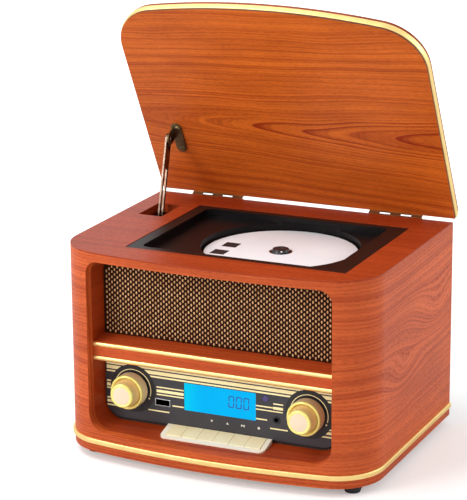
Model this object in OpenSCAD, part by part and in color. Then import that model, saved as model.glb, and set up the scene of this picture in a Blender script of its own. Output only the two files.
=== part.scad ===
// Table-top stereo music centre in a bow-fronted wooden cabinet.
// The lid is drawn open. The origin is on the ground under the middle of the
// box that bounds the whole object, +Z is up and the front faces -Y.
// Inside the file, y runs from the back face of the cabinet (y = 0) forwards.

/* [Cabinet] */
// Width of the cabinet
body_w = 254; // [230:1:300]
// Depth from the back face to the apex of the bowed front
body_d = 193; // [184:1:232]
// Height from the lower edge to the top of the deck
body_h = 159.5; // [152:0.5:200]
// Radius of the bowed front in plan
front_r = 598; // [400:1:900]
// Radius of the two front corners in plan
corner_r = 38; // [25:1:45]
// Thickness of the bent wooden wall
wall = 7; // [5:0.5:9]
// Thickness of the top deck
deck_t = 7; // [5:0.5:9]
// Thickness of the deck's lip over the wall
deck_lip = 1.2; // [0.8:0.1:2]
// Thickness of the bottom board
base_t = 5; // [4:0.5:8]
// Thickness of the back panel
back_t = 4; // [3:0.5:6]
// Height of the rubber feet
foot_h = 6.5; // [4:0.5:10]
// Radius of a rubber foot
foot_r = 7; // [6:0.5:10]
// How far the brass strip stands out of the cabinet and the lid
trim_out = 1.6; // [1:0.1:2.5]
// Height of the brass strip round the base
base_trim_h = 4; // [3:0.5:6]
// Lower edge of the brass strip above the cabinet's lower edge
base_trim_z = 6.6; // [5:0.1:10]

/* [Front recess] */
// Half width of the recess at its back
recess_half = 97.2; // [90:0.1:99]
// How much the recess widens for each millimetre forwards
recess_flare = 0.12; // [0.05:0.01:0.2]
// Height of the recess floor at its back, above the cabinet's lower edge
recess_floor = 19.5; // [18:0.5:24]
// Distance from the deck's top to the recess ceiling at its back
recess_drop = 10.5; // [10:0.5:16]
// Distance from the back face to the front of the baffle board
baffle_y = 160.2; // [159:0.1:163]
// Radius of the two lower corners of the recess
recess_low_r = 15; // [8:1:20]
// Radius of the two upper corners of the recess
recess_top_r = 10; // [5:1:15]
// Thickness of the baffle board
baffle_t = 3.5; // [3:0.1:3.5]
// Thickness of the stretched grille cloth
cloth_t = 1.2; // [0.8:0.1:1.6]
// Height of the lower edge of the cross rail above the cabinet's lower edge
rail_z = 71.2; // [68:0.1:80]
// Height of the cross rail's front face
rail_h = 14.8; // [10:0.1:20]
// How far the cross rail stands in front of the baffle board
rail_d = 16.4; // [12:0.1:22]
// Height of each brass strip on the cross rail
rail_trim_h = 3.2; // [2:0.1:4]

/* [Control panel] */
// Thickness of the control panel
panel_t = 2; // [1.5:0.1:2.5]
// Distance of each knob from the middle of the panel
knob_x = 73.2; // [66:0.1:78]
// Height of the knobs above the cabinet's lower edge
knob_z = 47; // [42:0.1:52]
// Outer radius of a knob
knob_r = 13.6; // [12.5:0.1:15]
// Distance from the panel to the front rim of a knob
knob_len = 11.8; // [8:0.1:14]
// Radius of the push cap where it enters the knob
cap_r = 10.8; // [9:0.1:11.2]
// Radius of the push cap at its front edge
cap_front_r = 9.5; // [7:0.1:10]
// Distance from the panel to the face of a push cap
cap_len = 20.3; // [15:0.1:24]
// Travel of a push cap
cap_travel = 1.2; // [0.5:0.1:2]
// Radius of an encoder's shaft
shaft_r = 3; // [2.5:0.1:3.5]
// Width of the display window
lcd_w = 59.6; // [50:0.1:64]
// Height of the display window
lcd_h = 22; // [18:0.1:24]
// Height of the display's middle above the cabinet's lower edge
lcd_z = 46.4; // [44:0.1:50]

/* [Keys] */
// Number of keys
key_count = 6; // [6]
// Distance between the middles of two neighbouring keys
key_pitch = 13.1; // [11:0.1:13.4]
// Gap between two neighbouring keys
key_gap = 0.35; // [0.2:0.05:0.6]
// Width of the frame beside the keys
bezel_side = 3.8; // [3:0.1:5]
// Depth of the frame from the panel to its front edge
bezel_d = 17.8; // [16:0.1:20]
// Height of the frame over the recess floor at the panel
bezel_back_h = 3.6; // [3:0.1:5]
// Height of the frame over the recess floor at its front edge
bezel_front_h = 0.9; // [0.6:0.1:2]

/* [Lid and hinges] */
// Thickness of the lid
lid_t = 10; // [8:0.5:12]
// Gap between the closed lid and the deck
lid_gap = 0.5; // [0.3:0.1:1]
// Angle of the open lid from its closed place, in degrees
lid_open = 62; // [40:1:75]
// Distance of the hinge pin behind the back face
hinge_back = 3.2; // [3.1:0.1:4]
// Distance of the hinge pin below the deck's top
hinge_drop = 2.8; // [2:0.1:4]
// Distance of each hinge from the middle
hinge_x = 77.5; // [60:0.5:95]
// Length of a hinge
hinge_len = 44.5; // [40:0.5:50]
// Radius of a hinge knuckle
knuckle_r = 2.6; // [2.2:0.1:2.8]
// Radius of a hinge pin
hinge_pin_r = 1.3; // [1:0.1:1.5]

/* [Lid stay] */
// Distance of the stay from the middle, on the left
stay_x = 104.5; // [103:0.1:106]
// Distance of the stay's pivot from the lid's rear edge
stay_w = 62; // [56:0.5:66]
// Distance of the stay's pivot below the lid
stay_u = 7.5; // [6:0.5:9]
// Angle of the fixed stud below the hinge pin, in degrees
stud_angle = 28; // [24:1:32]
// Width of the stay arm
arm_w = 8.6; // [7:0.1:10]
// Thickness of the stay arm
arm_t = 1.6; // [1:0.1:2]
// Radius of the stud that the arm slides on
stud_r = 1.8; // [1.5:0.1:2.2]

/* [Disc well] */
// Left edge of the well from the middle
well_left = 77.7; // [76:0.1:82]
// Right edge of the well from the middle
well_right = 101.7; // [100:0.1:105]
// Distance from the back face to the well's front edge
well_front = 162.3; // [161:0.1:164]
// Distance from the back face to the well's rear edge
well_back = 29.2; // [28:0.1:29.5]
// Width of the well's flange on the left
flange_left = 9.9; // [5:0.1:15]
// Width of the well's flange on the right
flange_right = 14.8; // [5:0.1:18]
// Width of the well's flange at the front and the back
flange_end = 7; // [6:0.1:8]
// Depth of the well's tray below its flange
tray_depth = 6; // [4:0.1:7]
// Middle of the disc, to the right of the cabinet's middle
disc_x = 20.2; // [18:0.1:22]
// Distance from the back face to the middle of the disc
disc_y = 92.2; // [91.5:0.1:92.5]
// Depth of the disc's upper face below the deck's top
disc_drop = 11.3; // [10:0.1:12]
// Radius of the round pocket that the disc turns in
pocket_r = 61.5; // [61:0.1:61.7]

/* [Disc drive] */
// Radius of the disc
disc_r = 60; // [60]
// Radius of the hole in the disc
disc_hole_r = 7.5; // [7.5]
// Thickness of the disc
disc_t = 1.2; // [1.2]
// Radius of the hub's platter
platter_r = 15; // [12:0.5:16]
// Distance from the disc's middle to the lens at the sled's rest
lens_in = 24; // [23:0.5:26]
// Travel of the laser sled
sled_travel = 34; // [25:0.5:34]
// Distance of each guide rod from the disc's middle line
rod_y = 16; // [14:0.5:17]
// Radius of a guide rod
rod_r = 1.5; // [1:0.1:1.8]
// Gear module of the rack and the pinion
gear_m = 1; // [1]
// Number of teeth on the pinion
gear_n = 16; // [14:1:18]

/* [Speakers] */
// Distance of each speaker from the middle
speaker_x = 62; // [55:0.5:66]
// Height of the speakers above the cabinet's lower edge
speaker_z = 115; // [112:0.5:118]
// Radius of a speaker's frame
speaker_r = 27; // [24:0.5:28]

/* [Hidden] */
$fn = 64;
// Clearance between pieces that are fitted together by hand
fit = 0.1;
// Clearance between a shaft and its bore
run = 0.05;

// Heights from the ground
base_z = foot_h;
deck_z = base_z + body_h;
shell_h = body_h - deck_lip;
floor_back_z = base_z + recess_floor;
ceiling_z = deck_z - recess_drop;
board_z = base_z + base_t;
rail_low = base_z + rail_z;
panel_low = floor_back_z + 2.7;

// Plan of the bowed front
bow_y = front_r - body_d;
corner_x = body_w / 2 - corner_r;
corner_y = bow_y - sqrt(pow(front_r - corner_r, 2) - pow(corner_x, 2));
bow_angle = atan2(corner_y - bow_y, corner_x);
bow_steps = 44;
corner_steps = 20;

// Hinge axis and the place of the whole part
hinge_y = hinge_back;
hinge_z = deck_z - hinge_drop;
lid_low = deck_z + lid_gap;
lid_rise = lid_gap + lid_t + hinge_drop;
rear_reach = hinge_back - hinge_back * cos(lid_open) + lid_rise * sin(lid_open);
back_y = (body_d + trim_out - rear_reach) / 2;

// Front faces
panel_front = -baffle_y - panel_t;
cloth_front = -baffle_y - cloth_t;

// Lid layers: the under board thins to a lip at its rim, and the strip lies on the lip
under_t = 4.6;
under_lip = 1.4;
lid_trim_h = 5.2;
trim_seat = 4;
trim_top = under_lip + lid_trim_h;

// Stay: the pivot on the lid and the fixed stud lie on one circle round the hinge
stay_dy = -(stay_w + hinge_back);
stay_dz = lid_gap + hinge_drop - stay_u;
stay_r = sqrt(pow(stay_dy, 2) + pow(stay_dz, 2));
stay_a0 = atan2(-stay_dz, -stay_dy);
stay_open_a = lid_open - stay_a0;
pivot_y = hinge_y - stay_r * cos(stay_open_a);
pivot_z = hinge_z + stay_r * sin(stay_open_a);
stud_y = hinge_y - stay_r * cos(stud_angle);
stud_z = hinge_z - stay_r * sin(stud_angle);
arm_tilt = atan2(stud_y - pivot_y, pivot_z - stud_z);
reach_open = 2 * stay_r * sin((stay_open_a + stud_angle) / 2);
reach_shut = 2 * stay_r * sin((stud_angle - stay_a0) / 2);
arm_slot_r = stud_r + 0.3;
arm_end = reach_open + arm_w / 2 + 1.5;
slot_left = 111.1;
slot_right = 90.8;
slot_front = 73.7;
slot_back = 37.4;
rivet_r = 1.6;
ear_t = 1.2;
plate_t = 1.2;
plate_w = 9;
plate_near = 43;
plate_far = 72.6;
plate_screws = [47.5, 68];

// Keys
slope = recess_flare;
key_w = key_pitch - key_gap;
keys_half = key_count * key_pitch / 2;
bezel_half = keys_half + 0.2 + bezel_side;
key_back = panel_front - 0.5;
key_front = panel_front - bezel_d + 3.6;
key_pin_y = panel_front - 2.2;
key_pin_z = floor_z(key_pin_y) + 1.75;
key_pin_r = 0.9;
post_y = panel_front - 10.4;
switch_top = board_z + 6.2;
post_low = switch_top + 0.75;
liner_low = base_z + 11.5;

// Disc well
well_top = deck_z - 0.3;
well_skin = 1.8;
tray_z = well_top - tray_depth;
disc_top = deck_z - disc_drop;
disc_low = disc_top - disc_t;
pocket_z = disc_low - 1.5;
pocket_low = pocket_z - well_skin;
pocket_wall = 1.3;
scallop = 2.5;
tray_x0 = -well_left + flange_left;
tray_x1 = well_right - flange_right;
tray_y0 = -well_front + flange_end + 0.3;
tray_y1 = -well_back - flange_end + 0.2;
tab_spots = [[-well_left - 5, -134], [-well_left - 5, -60],
             [well_right + 1, -134], [well_right + 1, -60]];

// Disc drive
chassis_t = 2;
chassis_top = pocket_low - 8.7;
chassis_low = chassis_top - chassis_t;
chassis_x0 = -64;
chassis_x1 = 52;
chassis_y0 = -126;
chassis_y1 = -48;
motor_r = 13;
motor_h = 11;
spindle_r = 1;
sled_x0 = disc_x - lens_in - 18;
sled_x1 = disc_x - lens_in + 8;
sled_half = rod_y + 2.6;
sled_low = chassis_top + 1.5;
sled_h = 5.5;
rod_z = sled_low + 2.7;
rod_x0 = sled_x0 - sled_travel - 4;
rod_x1 = sled_x1 + 6.5;
pitch_r = gear_m * gear_n / 2;
rack_pitch_y = -disc_y + sled_half + 2.9 + gear_m;
pinion_x = sled_x0 + 4;
pinion_y = rack_pitch_y + pitch_r + 0.15;
rack_n = 13;
mount_spots = [[-58, -120], [46, -120], [46, -54], [-58, -54]];
mount_post_r = 2.5;
grommet_r = 4.6;
sled_motor_r = 8;

// Speakers
cone_r = 21.5;
speaker_d = 26;

// Back panel fastenings and cord bush
cleat = 8;
rear_rail_h = 9;
rear_rail_d = 10;
back_top = deck_z - deck_t - rear_rail_h;
screw_r = 1.6;
bush_x = -88;
bush_z = base_z + 24;
bush_r = 5.5;
foot_left_x = -104;
foot_right_x = 110;
foot_front_y = -166.5;
foot_rear_y = -26;

// Height of the sloping recess floor at a distance y
function floor_z(y) = floor_back_z - slope * (-baffle_y - y);

// Height of the sloping top of the key frame at a distance y
function bezel_z(y) =
    floor_z(panel_front) + bezel_back_h
    - (panel_front - y) / bezel_d
      * (floor_z(panel_front) + bezel_back_h - floor_z(panel_front - bezel_d) - bezel_front_h);

// Points of an arc
function arc(cx, cy, r, a0, a1, n) =
    [for (i = [0 : n]) let (a = a0 + (a1 - a0) * i / n) [cx + r * cos(a), cy + r * sin(a)]];

// Outline of the cabinet in plan, drawn in by d, with its rear edge at y
function plan_points(d, y) = concat(
    [[-(body_w / 2 - d), y]],
    arc(-corner_x, corner_y, corner_r - d, 180, 360 - (180 + bow_angle), corner_steps),
    arc(0, bow_y, front_r - d, -180 - bow_angle, bow_angle, bow_steps),
    arc(corner_x, corner_y, corner_r - d, bow_angle, 0, corner_steps),
    [[body_w / 2 - d, y]]);

// Rectangle with rounded corners, with its own radius below and above
function rounded(x0, x1, y0, y1, rl, rt) = concat(
    arc(x0 + rl, y0 + rl, rl, 180, 270, 8),
    arc(x1 - rl, y0 + rl, rl, 270, 360, 8),
    arc(x1 - rt, y1 - rt, rt, 0, 90, 8),
    arc(x0 + rt, y1 - rt, rt, 90, 180, 8));

// Place the part in its own frame
module placed() {
    translate([0, back_y, 0]) children();
}

// Turn a lid piece from its closed place to its open place
module opened() {
    placed()
        translate([0, hinge_y, hinge_z])
            rotate([-lid_open, 0, 0])
                translate([0, -hinge_y, -hinge_z])
                    children();
}

// A slab of the cabinet's outline
module slab(d, z, h, y = 0) {
    translate([0, 0, z]) linear_extrude(h) polygon(plan_points(d, y));
}

// A box given by its two corners
module block(x, y, z) {
    translate([x[0], y[0], z[0]]) cube([x[1] - x[0], y[1] - y[0], z[1] - z[0]]);
}

// Stand something on the control panel: its z axis points to the front
module on_panel(x, z) {
    translate([x, panel_front, z]) rotate([90, 0, 0]) children();
}

// A rod along x
module rod_x_way(x0, x1, y, z, r) {
    translate([x0, y, z]) rotate([0, 90, 0]) cylinder(r = r, h = x1 - x0);
}

// A rod along y
module rod_y_way(x, y0, y1, z, r) {
    translate([x, y1, z]) rotate([90, 0, 0]) cylinder(r = r, h = y1 - y0);
}

// The flared hollow of the front recess
module recess_hollow() {
    hull() {
        recess_slice(-baffle_y + 4);
        recess_slice(-body_d - 6);
    }
}

module recess_slice(y) {
    grow = slope * (-baffle_y - y);
    translate([0, y, 0])
        rotate([90, 0, 0])
            linear_extrude(0.01)
                polygon(rounded(-recess_half - grow, recess_half + grow,
                                floor_back_z - grow, ceiling_z + grow,
                                recess_low_r, recess_top_r));
}

// Bent wooden wall: both sides and the bowed front, with the cleats glued inside its rear ends
module cabinet_shell() {
    color("chocolate") placed() {
        difference() {
            slab(0, base_z, shell_h);
            slab(wall, base_z - 1, shell_h + 2, 1);
            recess_hollow();
            difference() {
                slab(-5, base_z + base_trim_z - run, base_trim_h + 2 * run);
                slab(0.8, base_z, 40, 1);
            }
        }
        for (s = [-1, 1])
            block([s * (body_w / 2 - wall) - (s > 0 ? cleat : 0),
                   s * (body_w / 2 - wall) + (s > 0 ? 0 : cleat)],
                  [-back_t - cleat, -back_t], [board_z, back_top]);
    }
}

// Glued-up frame that lines the recess between the bowed front and the baffle board
module recess_liner() {
    color("saddlebrown") placed()
        difference() {
            intersection() {
                block([-recess_half - 10, recess_half + 10], [-body_d, -baffle_y],
                      [liner_low, deck_z - deck_t]);
                slab(wall, base_z, body_h);
            }
            recess_hollow();
            block([-keys_half - 0.9, keys_half + 0.9],
                  [panel_front - bezel_d + 2.6, -baffle_y + 1], [liner_low - 1, floor_back_z + 1]);
        }
}

// Top deck with the opening for the well, the slot for the stay and a batten along its rear edge
module top_deck() {
    color("firebrick") placed()
        difference() {
            union() {
                slab(0, deck_z - deck_lip, deck_lip);
                slab(wall + fit, deck_z - deck_t, deck_t);
                block([-body_w / 2 + wall + 1, body_w / 2 - wall - 1],
                      [-rear_rail_d, 0], [back_top, deck_z - deck_t + 1]);
            }
            block([-well_left, well_right], [-well_front, -well_back], [deck_z - 20, deck_z + 1]);
            block([-slot_left, -slot_right], [-slot_front, -slot_back], [deck_z - 20, deck_z + 1]);
            for (p = tab_spots)
                translate([p[0], p[1], deck_z - deck_t - 1]) cylinder(r = screw_r + run, h = 6);
            hinge_screw_spots() rod_y_way(0, -9, 1, hinge_z - 6.6, 0.9 + run);
        }
}

// Bottom board with the holes of the feet's screws
module bottom_board() {
    color("peru") placed()
        difference() {
            slab(wall + fit, base_z, base_t);
            foot_spots() translate([0, 0, base_z - 1]) cylinder(r = screw_r + run, h = base_t + 2);
        }
}

// Where the four feet stand
module foot_spots() {
    for (x = [foot_left_x, foot_right_x], y = [foot_front_y, foot_rear_y])
        translate([x, y, 0]) children();
}

// Brass strip let into the base of the cabinet
module base_trim() {
    color("gold") placed()
        difference() {
            slab(-trim_out, base_z + base_trim_z, base_trim_h);
            slab(0.8 - run, base_z, 40, 1);
        }
}

// Rear panel with cooling slots and the hole for the cord's bush
module back_panel() {
    half = body_w / 2 - wall - fit;
    color("dimgray") placed()
        difference() {
            block([-half, half], [-back_t, 0], [board_z, back_top - fit]);
            rod_y_way(bush_x, -back_t - 1, 1, bush_z, bush_r + run);
            for (row = [0, 1], i = [0 : 11])
                block([-50 + i * 9, -46.5 + i * 9], [-back_t - 1, 1],
                      [board_z + 42 + row * 34, board_z + 68 + row * 34]);
            back_screw_spots() rod_y_way(0, -back_t - 1, 1, 0, screw_r + run);
        }
}

// Where the screws of the back panel go into the cleats
module back_screw_spots() {
    for (s = [-1, 1], z = [board_z + 10, (board_z + back_top) / 2, back_top - 10])
        translate([s * (body_w / 2 - wall - cleat / 2), 0, z]) children();
}

// Screw with its head at z = 0 and its shank pointing down
module wood_screw(shank_r, head_r, length) {
    translate([0, 0, -length]) cylinder(r = shank_r, h = length + 0.2);
    cylinder(r1 = head_r, r2 = head_r * 0.6, h = head_r * 0.45);
}

// Screws of the back panel, the well and the feet
module case_screws() {
    color("silver") placed() {
        back_screw_spots() rotate([-90, 0, 0]) wood_screw(screw_r, 3, back_t);
        for (p = tab_spots)
            translate([p[0], p[1], deck_z - deck_t - 2.2 - fit])
                rotate([180, 0, 0]) wood_screw(screw_r, 3, 6);
        foot_spots()
            translate([0, 0, foot_h - 2.5]) rotate([180, 0, 0]) wood_screw(screw_r, 3, 7);
    }
}

// Four rubber feet, each with a sunk hole for its screw
module feet() {
    color("black") placed()
        foot_spots()
            difference() {
                cylinder(r1 = foot_r - 1, r2 = foot_r, h = foot_h);
                translate([0, 0, -1]) cylinder(r = screw_r + run, h = foot_h + 2);
                translate([0, 0, -1]) cylinder(r = 3.5, h = 1 + foot_h - 2.5);
            }
}

// Board behind the recess, with two speaker holes and a window for the controls
module speaker_baffle() {
    color("sienna") placed()
        difference() {
            block([-body_w / 2 + wall + 1, body_w / 2 - wall - 1], [-baffle_y, -baffle_y + baffle_t],
                  [board_z, deck_z - 8.5]);
            slab(-20, 0, 0.5);
            baffle_corners();
            for (s = [-1, 1])
                rod_y_way(s * speaker_x, -baffle_y - 1, -baffle_y + baffle_t + 1,
                          base_z + speaker_z, cone_r + 0.5);
            block([-recess_half + 6, recess_half - 6], [-baffle_y - 1, -baffle_y + baffle_t + 1],
                  [panel_low + 4, rail_low - 4]);
        }
}

// What the rounded corners of the wall take off the baffle board
module baffle_corners() {
    difference() {
        block([-body_w / 2, body_w / 2], [-baffle_y - 1, -baffle_y + baffle_t + 1],
              [board_z - 1, deck_z]);
        slab(wall + fit, board_z - 2, body_h);
    }
}

// Grille cloth stretched over the upper half of the baffle board
module grille_cloth() {
    color("tan") placed()
        translate([0, -baffle_y, 0])
            rotate([90, 0, 0])
                linear_extrude(cloth_t)
                    polygon(rounded(-recess_half + 0.3, recess_half - 0.3,
                                    rail_low + rail_h + 3.2, ceiling_z - 0.3,
                                    0.5, recess_top_r));
}

// Wooden cross rail with two shallow grooves for its strips
module cross_rail() {
    half = recess_half - 0.1;
    color("indianred") placed()
        difference() {
            rotate([90, 0, 90])
                translate([0, 0, -half - 3])
                    linear_extrude(2 * half + 6)
                        polygon([[-baffle_y, rail_low],
                                 [-baffle_y - rail_d, rail_low],
                                 [-baffle_y - rail_d, rail_low + rail_h],
                                 [-baffle_y, rail_low + rail_h + 3]]);
            difference() {
                block([-half - 9, half + 9], [-baffle_y - rail_d - 2, -baffle_y + 1],
                      [rail_low - 1, rail_low + rail_h + 9]);
                recess_hollow();
            }
            for (z = rail_trim_z())
                block([-half - 9, half + 9], [-baffle_y - rail_d - 1, -baffle_y - rail_d + 0.8],
                      [z - run, z + rail_trim_h + run]);
        }
}

// Lower edges of the two strips on the cross rail
function rail_trim_z() = [rail_low + 0.3, rail_low + rail_h - rail_trim_h - 0.3];

// Two brass strips with rounded faces
module rail_trims() {
    half = recess_half - 0.1 + slope * rail_d - slope;
    color("gold") placed()
        for (z = rail_trim_z())
            translate([-half, -baffle_y - rail_d + 0.8 - run, z + rail_trim_h / 2])
                rotate([0, 90, 0])
                    linear_extrude(2 * half)
                        intersection() {
                            translate([-rail_trim_h / 2, -1.5])
                                square([rail_trim_h, 1.5]);
                            translate([0, 0.6]) circle(r = 2.1, $fn = 48);
                        }
}

// Dark control panel with its openings
module control_panel() {
    low = panel_low;
    color("darkslategray") placed()
        difference() {
            translate([0, -baffle_y, 0])
                rotate([90, 0, 0])
                    linear_extrude(panel_t)
                        polygon(rounded(-recess_half + 0.4, recess_half - 0.4,
                                        low, rail_low - 0.2, recess_low_r - 2, 0.5));
            for (s = [-1, 1])
                on_panel(s * knob_x, base_z + knob_z)
                    translate([0, 0, -panel_t - 1]) cylinder(r = 3.65, h = panel_t + 2);
            on_panel(0, base_z + lcd_z)
                translate([-lcd_w / 2, -lcd_h / 2, -panel_t - 1]) cube([lcd_w, lcd_h, panel_t + 2]);
            on_panel(ir_x, base_z + ir_z)
                translate([0, 0, -panel_t - 1]) cylinder(r = 2.6, h = panel_t + 2);
            on_panel(usb_x, base_z + usb_z)
                translate([-usb_w / 2 - fit, -usb_h / 2 - fit, -panel_t - 1])
                    cube([usb_w + 2 * fit, usb_h + 2 * fit, panel_t + 2]);
            on_panel(jack_x, base_z + jack_z)
                translate([0, 0, -panel_t - 1]) cylinder(r = 3.05, h = panel_t + 2);
        }
}

// Places of the small parts on the panel, from its middle and the cabinet's lower edge
ir_x = 37.9;
ir_z = 54.3;
usb_x = -48;
usb_z = 38.9;
usb_w = 12.6;
usb_h = 5.4;
jack_x = 46.8;
jack_z = 38.5;

// Knob: a cup that turns on the encoder's shaft
module knob() {
    color("wheat")
        rotate_extrude()
            polygon([[shaft_r + run, 0.9], [knob_r - 1.2, 0.9], [knob_r - 0.5, 1.6],
                     [knob_r, knob_len - 1.2], [knob_r - 0.4, knob_len - 0.3],
                     [knob_r - 1.4, knob_len], [cap_r + 1, knob_len],
                     [cap_r + 0.2, knob_len - 0.8], [cap_r + 0.2, 4],
                     [5.2, 4], [5.2, 6], [shaft_r + run, 6]]);
}

// Push cap: a hollow button that slides in the knob
module push_cap() {
    color("ivory")
        rotate_extrude()
            polygon([[0, cap_len], [cap_front_r - 2.4, cap_len],
                     [cap_front_r - 0.9, cap_len - 0.4], [cap_front_r, cap_len - 1.3],
                     [cap_r, knob_len - 0.5], [cap_r, 6.4], [cap_r - 1.4, 6.4],
                     [cap_r - 1.4, knob_len - 0.5], [cap_front_r - 1.4, cap_len - 2.6],
                     [2.4, cap_len - 2.6],
                     [2.4, 8.5 + cap_travel + 0.2], [0, 8.5 + cap_travel + 0.2]]);
}

module volume_knob() placed() on_panel(-knob_x, base_z + knob_z) knob();
module tuning_knob() placed() on_panel(knob_x, base_z + knob_z) knob();
module standby_cap() placed() on_panel(-knob_x, base_z + knob_z) push_cap();
module sleep_cap() placed() on_panel(knob_x, base_z + knob_z) push_cap();

// Two rotary encoders behind the panel, with their bushes and shafts
module encoders() {
    color("dimgray") placed()
        for (s = [-1, 1])
            on_panel(s * knob_x, base_z + knob_z) {
                translate([-6.5, -6.5, -panel_t - 6.5]) cube([13, 13, 6.5]);
                translate([0, 0, -panel_t - 0.1]) cylinder(r = 3.6, h = panel_t + 0.7);
                cylinder(r = shaft_r, h = 8.5);
            }
}

// Clear window of the display
module lcd_window() {
    color("deepskyblue") placed()
        on_panel(0, base_z + lcd_z)
            translate([-lcd_w / 2 + fit, -lcd_h / 2 + fit, -1.8])
                cube([lcd_w - 2 * fit, lcd_h - 2 * fit, 1.6]);
}

// Display glass and light box on a small board
module lcd_module() {
    color("seagreen") placed()
        on_panel(0, base_z + lcd_z) {
            translate([-lcd_w / 2 - 3, -lcd_h / 2 - 3, -panel_t - 4.5])
                cube([lcd_w + 6, lcd_h + 6, 4.4]);
            translate([-lcd_w / 2 - 6, -lcd_h / 2 - 5, -panel_t - 6.1])
                cube([lcd_w + 12, lcd_h + 10, 1.6]);
        }
}

// Tinted window of the infrared receiver
module ir_window() {
    color("indigo") placed()
        on_panel(ir_x, base_z + ir_z)
            translate([0, 0, -panel_t]) cylinder(r = 2.6 - run, h = panel_t + 0.1);
}

// Flat socket with a contact tongue
module usb_socket() {
    color("silver") placed()
        on_panel(usb_x, base_z + usb_z) {
            difference() {
                translate([-usb_w / 2, -usb_h / 2, -13]) cube([usb_w, usb_h, 13.05]);
                translate([-usb_w / 2 + 0.4, -usb_h / 2 + 0.4, -12])
                    cube([usb_w - 0.8, usb_h - 0.8, 14]);
            }
            translate([-usb_w / 2 + 1, 0.1, -12.5]) cube([usb_w - 2, 1.7, 11.8]);
        }
}

// Headphone jack: a threaded collar with a 3.5 mm socket
module phones_jack() {
    color("black") placed()
        on_panel(jack_x, base_z + jack_z)
            difference() {
                union() {
                    translate([0, 0, -panel_t - 0.1]) cylinder(r = 3, h = panel_t + 0.5);
                    translate([-5, -5.5, -panel_t - 13]) cube([10, 11, 12.9]);
                }
                translate([0, 0, -14]) cylinder(r = 1.8, h = 16);
            }
}

// Frame round the keys on the recess floor
module key_bezel() {
    low = -bezel_d + panel_front;
    color("wheat") placed()
        difference() {
            intersection() {
                rotate([90, 0, 90])
                    translate([0, 0, -bezel_half])
                        linear_extrude(2 * bezel_half)
                            polygon([[panel_front - 0.2, floor_z(panel_front - 0.2) + 0.05],
                                     [panel_front - 0.2, bezel_z(panel_front - 0.2)],
                                     [low, bezel_z(low)],
                                     [low, floor_z(low) + 0.05]]);
                linear_extrude(200)
                    polygon(rounded(-bezel_half, bezel_half, low, panel_front - 0.2, 5, 0.3));
            }
            block([-keys_half - 0.2, keys_half + 0.2], [key_front - 0.3, panel_front + 1],
                  [0, 100]);
            rod_x_way(-bezel_half + 1, bezel_half - 1, key_pin_y, key_pin_z, key_pin_r + 0.01);
        }
}

// Key number n from the left: a sloping cap on the pivot pin, with a post over its switch
module key(n) {
    x0 = -keys_half + (n - 1) * key_pitch + key_gap / 2;
    color("cornsilk") placed()
        difference() {
            union() {
                rotate([90, 0, 90])
                    translate([0, 0, x0])
                        linear_extrude(key_w)
                            polygon([[key_back, key_pin_z - 1.6],
                                     [key_back, bezel_z(key_back) + 0.3],
                                     [key_front + 0.5, bezel_z(key_front + 0.5) + 0.5],
                                     [key_front, bezel_z(key_front) + 0.1],
                                     [key_front, floor_z(key_front) - 1.2],
                                     [key_front + 2, key_pin_z - 3.4]]);
                translate([x0 + key_w / 2, post_y, post_low])
                    cylinder(r = 1.2, h = key_pin_z - 2 - post_low);
            }
            rod_x_way(x0 - 1, x0 + key_w + 1, key_pin_y, key_pin_z, key_pin_r + run);
        }
}

// Steel pin that all the keys turn on
module key_pivot_pin() {
    color("silver") placed()
        rod_x_way(-bezel_half + 1.1, bezel_half - 1.1, key_pin_y, key_pin_z, key_pin_r);
}

// Board under the keys with one push switch each
module key_board() {
    color("darkgreen") placed() {
        block([-keys_half - 3, keys_half + 3], [panel_front - bezel_d + 1, panel_front - 0.5],
              [board_z, board_z + 1.2]);
        for (n = [1 : key_count])
            translate([-keys_half + (n - 0.5) * key_pitch, post_y, board_z + 1.1]) {
                translate([-3, -3, 0]) cube([6, 6, 3.5]);
                cylinder(r = 1.6, h = switch_top - board_z - 1.1);
            }
    }
}

// Black moulding in the deck: flange, rectangular tray and round disc pocket
module cd_well() {
    color("black") placed()
        difference() {
            union() {
                block([-well_left + 0.3, well_right - 0.3],
                      [-well_front + 0.3, -well_back - 0.3], [well_top - 2, well_top]);
                block([tray_x0 - 2, tray_x1 + 2], [tray_y0 - 2, tray_y1 + 2],
                      [tray_z - well_skin, well_top - 1]);
                translate([disc_x, -disc_y, pocket_low])
                    cylinder(r = pocket_r + pocket_wall, h = well_top - 2 - pocket_low, $fn = 120);
                for (p = tab_spots)
                    block([min(p[0] - 4, sign(p[0]) * 80), max(p[0] + 4, sign(p[0]) * 80)],
                          [p[1] - 5, p[1] + 5], [deck_z - deck_t - 2.2, deck_z - deck_t - 0.2]);
                for (s = [0, 1])
                    block(s == 0 ? [-well_left, tray_x0 - 1] : [tray_x1 + 1, well_right],
                          [-139, -55], [deck_z - deck_t - 2.2, deck_z - deck_t - 0.2]);
                for (p = mount_spots)
                    translate([p[0], p[1], chassis_low - 3])
                        cylinder(r = mount_post_r, h = tray_z - 1 - chassis_low + 3);
            }
            translate([0, 0, tray_z])
                linear_extrude(20)
                    polygon(rounded(tray_x0, tray_x1, tray_y0, tray_y1, 6, 6));
            translate([disc_x, -disc_y, pocket_z])
                cylinder(r = pocket_r, h = tray_z + scallop - pocket_z, $fn = 120);
            translate([disc_x, -disc_y, pocket_low - 1])
                cylinder(r = platter_r + 3, h = well_skin + 2);
            block([disc_x - lens_in - sled_travel - 6, disc_x],
                  [-disc_y - 11, -disc_y + 11], [pocket_low - 1, pocket_z + 1]);
            for (p = tab_spots)
                translate([p[0], p[1], deck_z - deck_t - 4]) cylinder(r = screw_r + run, h = 6);
        }
}

// Optical disc
module disc() {
    color("whitesmoke") placed()
        translate([disc_x, -disc_y, disc_low])
            difference() {
                cylinder(r = disc_r, h = disc_t, $fn = 120);
                translate([0, 0, -1]) cylinder(r = disc_hole_r, h = disc_t + 2);
            }
}

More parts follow.
